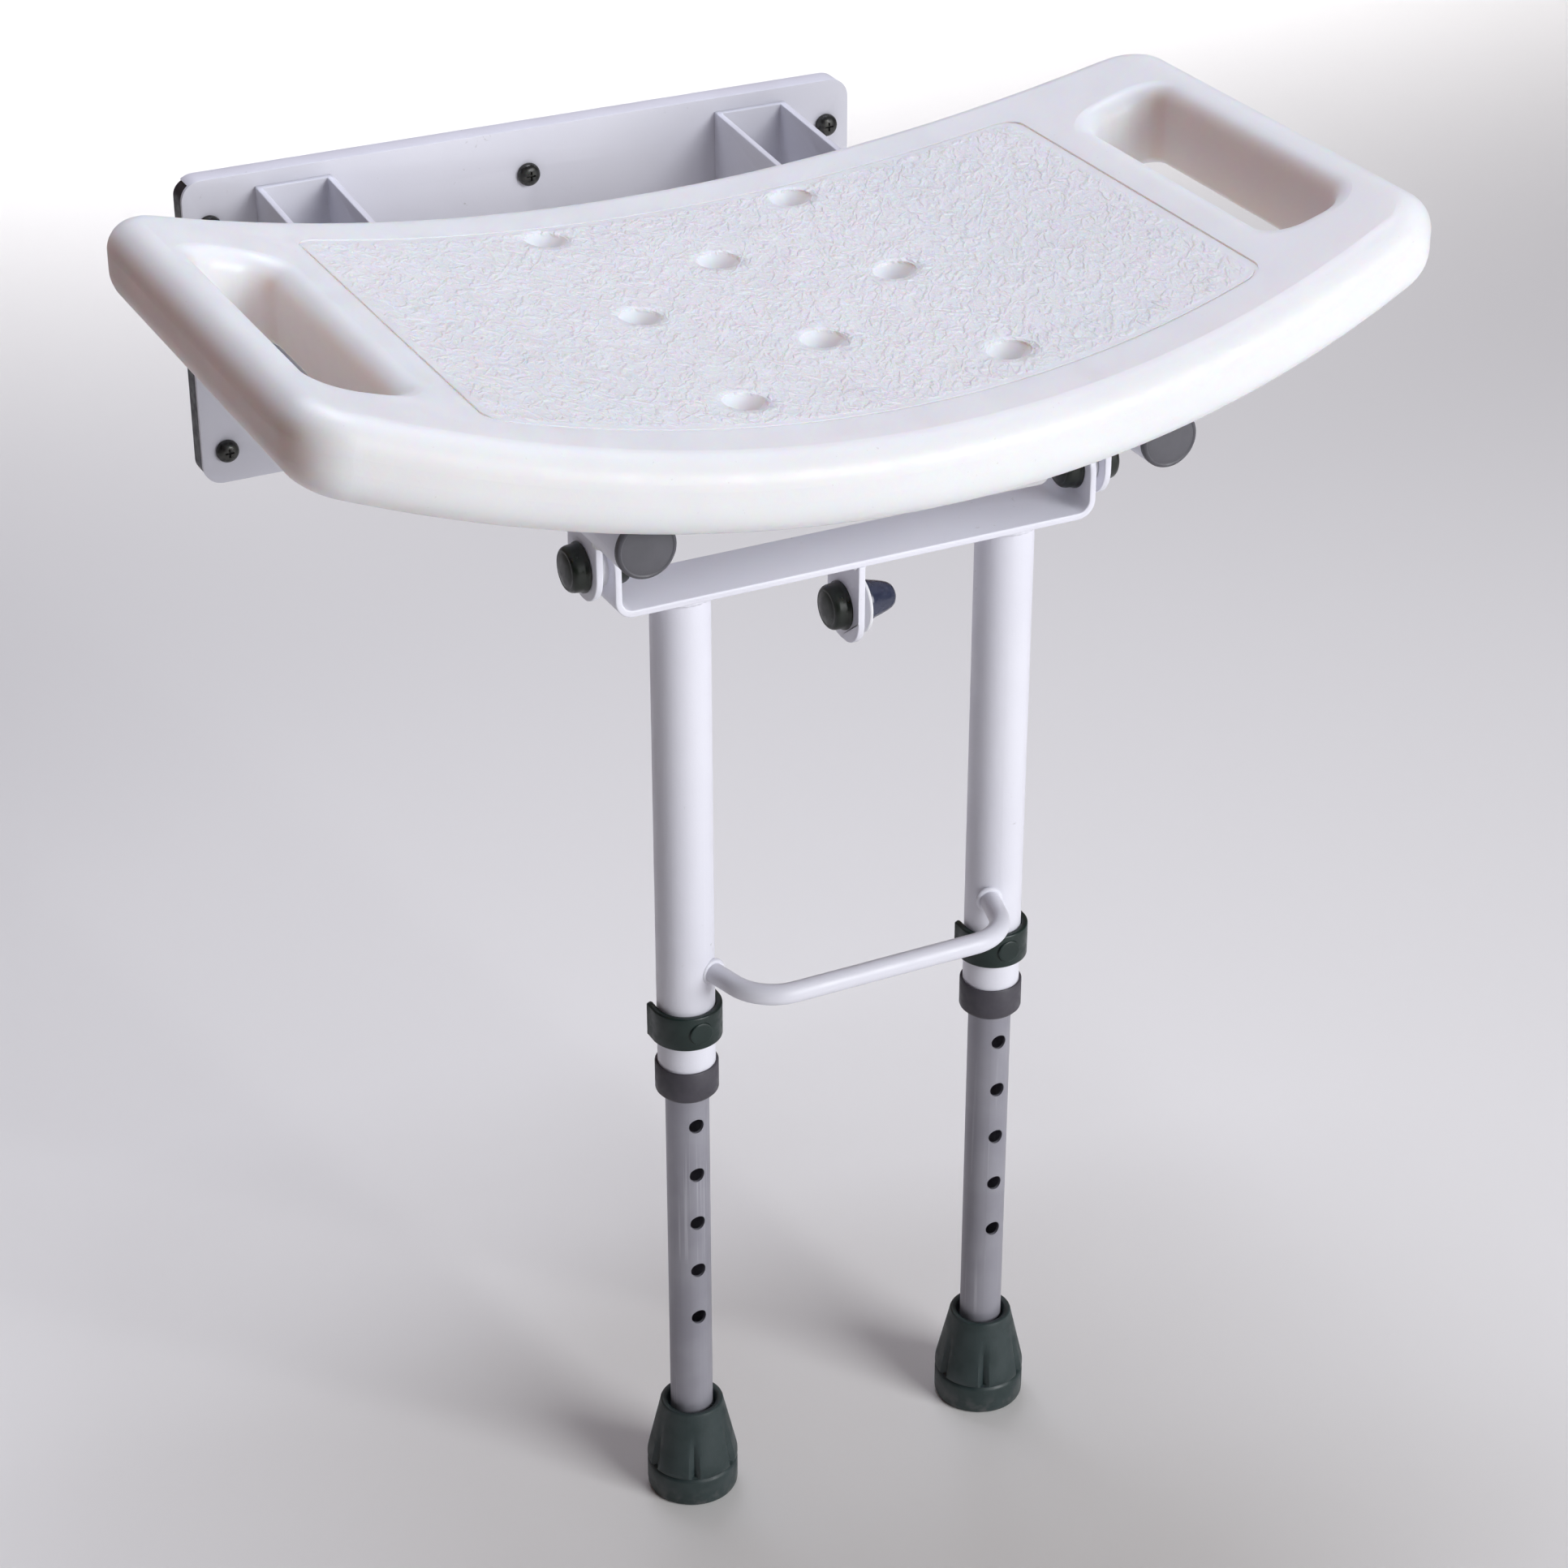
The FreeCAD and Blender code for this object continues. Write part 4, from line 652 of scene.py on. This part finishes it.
def spring_clip(side, finish):
    """Band around the front of an upper leg: rounded edges, turned-out lips, a button and its pin."""
    node = f"{side}_spring_clip"
    low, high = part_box(node)
    axis_x = (low.x + high.x) / 2
    reach = (high.x - low.x) / 2 - CLIP_WALL / 2
    deselect_all()
    bpy.ops.mesh.primitive_circle_add(vertices=80, radius=reach, fill_type="NOTHING",
                                      location=(axis_x, LEG_Y, low.z))
    piece = begin(f"{side}_leg_clip")
    pick(piece, "VERT", lambda vertex: vertex.co.y > LEG_Y + 0.1 * MM)
    bpy.ops.mesh.delete(type="VERT")
    pick(piece, "VERT", lambda vertex: vertex.co.y > LEG_Y - 0.1 * MM)
    bpy.ops.mesh.extrude_region_move(TRANSFORM_OT_translate={"value": (0, CLIP_CHEEK, 0)})
    bpy.ops.mesh.extrude_region_move(TRANSFORM_OT_translate={"value": (0, CLIP_LIP, 0)})
    spread = (reach + CLIP_FLARE) / reach
    bpy.ops.transform.resize(value=(spread, 1, 1), center_override=(axis_x, LEG_Y, low.z))
    bpy.ops.mesh.select_all(action="SELECT")
    for _ in range(CLIP_ROWS):
        row = (high.z - low.z) / CLIP_ROWS
        bpy.ops.mesh.extrude_region_move(TRANSFORM_OT_translate={"value": (0, 0, row)})
    bpy.ops.mesh.select_all(action="SELECT")
    bpy.ops.mesh.normals_make_consistent(inside=False)
    bpy.ops.object.mode_set(mode="OBJECT")
    shell = piece.modifiers.new("wall", "SOLIDIFY")
    shell.thickness = CLIP_WALL
    shell.offset = 0
    shell.use_even_offset = True
    bpy.ops.object.modifier_apply(modifier=shell.name)
    rounded_by(piece, 0.8 * MM, 3, 50)
    up = (low.z + high.z) / 2
    button = clip_button(node, axis_x, up, reach + CLIP_WALL / 2)
    pin = clip_pin(axis_x, up, reach)
    deselect_all()
    for part in (button, pin, piece):
        part.select_set(True)
    bpy.context.view_layer.objects.active = piece
    bpy.ops.object.join()
    close(piece, finish)
    stands_for(piece, f"{side}_clip", "dark_plastic", node)


def clip_button(node, axis_x, up, reach):
    """Low round button on the band's front."""
    start = (axis_x, LEG_Y - reach + 0.9 * MM, up)
    profile = [(5.3, 0), (5.3, 0.8), (5.1, 1.15), (4.7, 1.35), (4.2, 1.4), (2.4, 1.45), (0.4, 1.5)]
    button = drawn_out(f"{node}_button", start, (0, -1, 0), in_mm(profile), 40)
    bpy.ops.object.mode_set(mode="OBJECT")
    return button


def clip_pin(axis_x, up, reach):
    """Locking pin with a chamfered end, from the band into the leg's hole."""
    start = (axis_x, LEG_Y - reach, up)
    profile = [(3.15, 0), (3.15, 6.9), (2.9, 7.4), (2.3, 7.7), (0.4, 7.7)]
    pin = drawn_out("leg_pin", start, (0, 1, 0), in_mm(profile), 32)
    bpy.ops.object.mode_set(mode="OBJECT")
    return pin


# Caps, plugs, screws and the stop
CAP_HEIGHT = 8 * MM
PLUG_RADIUS = 12.5 * MM
PLUG_REACH_MM = 3
SCREW_HEAD_RADIUS = 5.5 * MM
# Thread in millimetres, places from the face of the head
THREAD_CORE, THREAD_CREST, THREAD_PITCH = 2.35, 3.0, 1.7
THREAD_START, THREAD_END = 29.8, 8


def bolt_cap(name, start, along, finish):
    """Plastic cup over a bolt's head or nut: a rim, a step and a shallow dome."""
    profile = [(0.8, 6.4), (7.2, 6.4), (7.7, 5.9), (7.7, 0.4), (8.0, 0), (10.2, 0), (10.5, 0.3), (10.4, 1.2),
               (10.0, 1.7), (9.8, 2.4), (9.6, 4.9), (9.35, 5.8), (8.9, 6.5), (8.3, 7.0), (7.7, 7.2), (7.3, 7.1),
               (6.9, 7.2), (6.2, 7.5), (4.2, 7.8), (2.0, 7.95), (0.5, 8.0)]
    piece = drawn_out(name, start, along, in_mm(profile), 64)
    return close(piece, finish, math.radians(40))


def pivot_caps(finish):
    """Caps on both ends of the rear and the front pivots."""
    for row, body in (("rear", "wall_bracket"), ("front", "leg_frame")):
        node = f"{row}_pivot_caps"
        centre = middle(node)
        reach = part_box(node)[1].x
        inner = inner_reach(node)
        places = (("outer", reach - CAP_HEIGHT, 1), ("inner", inner + CAP_HEIGHT, -1))
        for where, across, along in places:
            right = bolt_cap(f"{row}_{where}_cap_right", (across, centre.y, centre.z), (along, 0, 0), finish)
            left = copied(right, f"{row}_{where}_cap_left", flip=(-1, 1, 1))
            for piece in (right, left):
                stands_for(piece, body, "dark_plastic", node)


def inner_reach(node):
    """How near the middle plane a pair of caps comes."""
    return min(abs(vertex.co.x) for vertex in nodes[node].data.vertices)


def tube_plug(name, start, along, finish):
    """Plug in an arm tube's end: rolled rim, fine groove and a slightly crowned face."""
    profile = [(10.9, -6), (10.9, 0), (12.4, 0), (12.5, 0.15), (12.5, 1.5), (12.3, 2.2), (11.8, 2.75), (11.2, 2.95),
               (10.9, 2.8), (10.6, 2.65), (10.2, 2.75), (8.0, 2.85), (4.0, 2.97), (0.6, 3.0)]
    piece = drawn_out(name, start, along, in_mm(profile), 64)
    return close(piece, finish, math.radians(40))


def arm_plugs(finish):
    low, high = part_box("front_tube_plugs")
    rear_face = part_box("rear_tube_plugs")[1].y
    across = high.x - PLUG_RADIUS
    up = (low.z + high.z) / 2
    for row, face, along in (("front", low.y, -1), ("rear", rear_face, 1)):
        start = (across, face - along * PLUG_REACH_MM * MM, up)
        right = tube_plug(f"{row}_plug_right", start, (0, along, 0), finish)
        left = copied(right, f"{row}_plug_left", flip=(-1, 1, 1))
        for piece in (right, left):
            stands_for(piece, "seat_frame", "grey_plastic", f"{row}_tube_plugs")


def wall_screw(name, start, finish):
    """Pan-head screw: cross recess, neck, and a thread of rings to its point."""
    profile = [(0.5, 32.5), (1.2, 30.8)]
    place = THREAD_START
    while place > THREAD_END:
        profile += [(THREAD_CORE, place), (THREAD_CREST, place - 0.45), (THREAD_CORE, place - 0.95)]
        place -= THREAD_PITCH
    profile += [(2.9, 7.6), (3.2, 7.0), (3.2, 4.6), (5.0, 4.5), (5.4, 4.35), (5.5, 4.0), (5.5, 3.2), (5.2, 2.1),
                (4.5, 1.2), (3.5, 0.55), (2.4, 0.2), (0.6, 0.05)]
    piece = drawn_out(name, start, (0, 1, 0), in_mm(profile), 36)
    close(piece, finish)
    for turned in (0, math.radians(90)):
        recess = cross_arm(start, turned)
        cutter = piece.modifiers.new("recess", "BOOLEAN")
        cutter.operation = "DIFFERENCE"
        cutter.object = recess
        deselect_all()
        piece.select_set(True)
        bpy.context.view_layer.objects.active = piece
        bpy.ops.object.modifier_apply(modifier=cutter.name)
        bpy.data.objects.remove(recess, do_unlink=True)
    bpy.ops.object.shade_smooth_by_angle(angle=SMOOTH_BELOW)
    return piece


def cross_arm(start, turned):
    """Tapered block that cuts one slot of a cross recess."""
    deselect_all()
    bpy.ops.mesh.primitive_cube_add(size=1, location=start, rotation=(0, turned, 0),
                                    scale=(5.6 * MM, 3.2 * MM, 1.1 * MM))
    block = begin("recess_block")
    inner_y = start[1] + 0.5 * MM
    pick(block, "VERT", lambda vertex: vertex.co.y > inner_y)
    bpy.ops.transform.resize(value=(0.62, 1, 0.62), center_override=start)
    bpy.ops.object.mode_set(mode="OBJECT")
    return block


def wall_screws(finish):
    low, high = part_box("wall_screws")
    radius = SCREW_HEAD_RADIUS
    start = Vector((high.x - radius, low.y, high.z - radius))
    first = wall_screw("wall_screw_1", start, finish)
    count = 1
    screws = [first]
    for across in (high.x - radius, 0, low.x + radius):
        for up in (high.z - radius, low.z + radius):
            shift = Vector((across, low.y, up)) - start
            if shift.length > SEAM:
                count += 1
                screws.append(copied(first, f"wall_screw_{count}", shift))
    for screw in screws:
        stands_for(screw, "wall_bracket", "dark_steel", "wall_screws")


def stop_fittings(dark, white, rubber):
    """The stop's bolt cap, cup washer and rubber buffer."""
    centre = middle("stop_bolt_cap")
    cap_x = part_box("stop_bolt_cap")[1].x
    stop_cap = bolt_cap("stop_bolt_cover", (cap_x, centre.y, centre.z), (-1, 0, 0), dark)
    stands_for(stop_cap, "leg_frame", "dark_plastic", "stop_bolt_cap")
    washer_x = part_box("stop_washer")[0].x
    profile = [(4.1, 0), (9.0, 0), (12.0, 0.45), (12.75, 0.8), (13.0, 1.3), (12.85, 1.9), (12.3, 2.2),
               (11.4, 2.0), (8.6, 1.3), (4.1, 1.3), (4.1, 0)]
    washer = drawn_out("stop_cup_washer", (washer_x, centre.y, centre.z), (1, 0, 0), in_mm(profile), 72, ring=True)
    close(washer, white)
    stands_for(washer, "leg_frame", "nylon", "stop_washer")
    buffer_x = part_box("rubber_buffer")[0].x
    profile = [(0.5, 9.0), (4.06, 9.0), (4.06, -0.6), (7.9, -0.6), (8.6, -0.2), (9.0, 0.6), (9.0, 2.2), (8.8, 3.0),
               (8.3, 4.2), (7.7, 6.2), (7.1, 8.6), (6.4, 11.0), (5.6, 13.0), (4.7, 14.3), (3.6, 15.05),
               (2.2, 15.4), (0.5, 15.5)]
    buffer = drawn_out("stop_buffer", (buffer_x, centre.y, centre.z), (1, 0, 0), in_mm(profile), 64)
    close(buffer, rubber, math.radians(50))
    stands_for(buffer, "leg_frame", "buffer_rubber", "rubber_buffer")


# Weld beads under the paint
BEAD_PITCH = 1.7 * MM
ARM_UNDERSIDE_Z = 36.2 * MM
RING_COLUMNS = 84
RIPPLE = 1.022


def bead_line(name, start, along, length, radius, body, finish):
    """Rippled bead along a straight seam."""
    count = max(3, round(length / BEAD_PITCH))
    pitch = length / count
    profile = [(0.3 * radius, 0), (0.8 * radius, 0.25 * pitch)]
    for step in range(count):
        profile += [(radius, (step + 0.45) * pitch), (0.84 * radius, (step + 0.95) * pitch)]
    profile.append((0.3 * radius, length))
    bead = drawn_out(name, start, along, profile, 12)
    close(bead, finish, math.radians(70))
    stands_for(bead, body, "white_powder_coat")


def bead_ring(name, centre, axis, reach, radius, body, finish):
    """Rippled bead around a tube's end."""
    deselect_all()
    turned = Vector(axis).to_track_quat("Z", "Y")
    bpy.ops.mesh.primitive_torus_add(major_segments=RING_COLUMNS, minor_segments=10, major_radius=reach,
                                     minor_radius=radius, location=centre, rotation=turned.to_euler())
    bead = begin(name)
    across, up = turned @ Vector((1, 0, 0)), turned @ Vector((0, 1, 0))
    centre = Vector(centre)

    def on_ripple(vertex):
        place = vertex.co - centre
        turn = math.atan2(place.dot(up), place.dot(across)) % (2 * math.pi)
        return round(turn * RING_COLUMNS / (2 * math.pi)) % 3 == 0

    pick(bead, "VERT", on_ripple)
    bpy.ops.transform.resize(value=(RIPPLE, RIPPLE, RIPPLE), center_override=centre)
    close(bead, finish, math.radians(70))
    stands_for(bead, body, "white_powder_coat")


def weld_beads(coat):
    """Beads at the legs' tops, the rod's ends, the stop, the hangers and the hinge brackets."""
    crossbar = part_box("leg_crossbar")[0].z
    rod = middle("brace_rod").z
    back = Vector((10.5, 40, 0)).normalized()
    on_leg = Vector((-7.9, -10.3, 0)) * MM
    hanger_low, hanger_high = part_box("right_hanger")
    hanger_x = (hanger_low.x + hanger_high.x) / 2
    for side, sign in (("right", 1), ("left", -1)):
        bead_ring(f"{side}_leg_bead", (sign * LEG_X, LEG_Y, crossbar - 0.5 * MM), (0, 0, 1), 12.6 * MM, 1.5 * MM,
                  "leg_frame", coat)
        place = Vector((sign * (LEG_X + on_leg.x), LEG_Y + on_leg.y, rod))
        bead_ring(f"{side}_rod_bead", place, (sign * back.x, back.y, 0), 4.7 * MM, 1.3 * MM, "leg_frame", coat)
        for face in (-1, 1):
            place = (sign * hanger_x + face * 1.7 * MM, LEG_Y - 12.5 * MM, ARM_UNDERSIDE_Z)
            bead_line(f"{side}_hanger_bead_{face + 2}", place, (0, 1, 0), 25 * MM, 1.3 * MM, "seat_frame", coat)
    for face in (-1, 1):
        place = (face * 1.8 * MM, LEG_Y - 13.5 * MM, crossbar - 0.5 * MM)
        bead_line(f"stop_bead_{face + 2}", place, (0, 1, 0), 30 * MM, 1.3 * MM, "leg_frame", coat)
    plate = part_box("wall_plate")[0].y
    for side in ("left", "right"):
        low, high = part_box(f"{side}_hinge_bracket")
        for number, across in enumerate((low.x, high.x), start=1):
            for up in (low.z + 8 * MM, low.z + 52 * MM):
                place = (across, plate - 0.4 * MM, up)
                bead_line(f"{side}_bracket_bead_{number}_{'low' if up < 0 else 'high'}", place, (0, 0, 1),
                          24 * MM, 1.5 * MM, "wall_bracket", coat)


def dress_nodes(coat):
    """Every CAD node that stays gets its node material."""
    dress(coat, "left_arm_tube", "right_arm_tube", "left_upper_leg", "right_upper_leg", "brace_rod")
    dress(seat_plastic(), "seat_board")
    end_plastic = moulded_plastic("cap_plastic", rgb(0.012, 0.014, 0.022), rgb(0.020, 0.023, 0.034), 0.42)
    dress(end_plastic, "plate_end_caps")
    nylon = moulded_plastic("white_nylon", rgb(0.78, 0.78, 0.80), rgb(0.84, 0.84, 0.86), 0.4)
    dress(nylon, "rear_pivot_bushes", "front_pivot_spacers", "left_leg_glide", "right_leg_glide")
    dress(satin_aluminium(), "left_lower_leg", "right_lower_leg")
    zinc = plated_steel("zinc_steel", rgb(0.50, 0.50, 0.50), rgb(0.66, 0.66, 0.66))
    dress(zinc, "rear_pivot_bolts", "rear_pivot_nuts", "front_pivot_bolts", "front_pivot_nuts", "stop_bolt",
          "stop_nut", "seat_screws")
    return nylon


def make_pieces(coat, nylon):
    """The detailed pieces that stand for plainer solids, and the beads."""
    for node, body in (("wall_plate", "wall_bracket"), ("left_hinge_bracket", "wall_bracket"),
                       ("right_hinge_bracket", "wall_bracket"), ("leg_crossbar", "leg_frame"),
                       ("stop_bracket", "leg_frame"), ("left_hanger", "seat_frame"), ("right_hanger", "seat_frame")):
        softened(node, body, coat, 0.6 * MM)
    rubber = foot_rubber()
    clip_plastic = moulded_plastic("clip_plastic", rgb(0.004, 0.014, 0.012), rgb(0.008, 0.022, 0.019), 0.4)
    collar_plastic = moulded_plastic("collar_plastic", rgb(0.050, 0.046, 0.058), rgb(0.066, 0.061, 0.075), 0.52)
    for side in ("left", "right"):
        ferrule(side, rubber)
        collar(side, collar_plastic)
        spring_clip(side, clip_plastic)
    cap_plastic = moulded_plastic("bolt_cap_plastic", rgb(0.003, 0.006, 0.004), rgb(0.008, 0.012, 0.008), 0.34)
    pivot_caps(cap_plastic)
    plug_plastic = moulded_plastic("plug_plastic", rgb(0.082, 0.081, 0.092), rgb(0.098, 0.096, 0.110), 0.5)
    arm_plugs(plug_plastic)
    buffer = moulded_plastic("buffer_rubber", rgb(0.030, 0.036, 0.066), rgb(0.046, 0.054, 0.090), 0.22)
    stop_fittings(cap_plastic, nylon, buffer)
    wall_screws(plated_steel("dark_steel", rgb(0.035, 0.035, 0.035), rgb(0.07, 0.07, 0.065), 0.7))
    weld_beads(coat)


photo_camera()
pale_floor()
studio()
coat = powder_coat()
nylon = dress_nodes(coat)
make_pieces(coat, nylon)
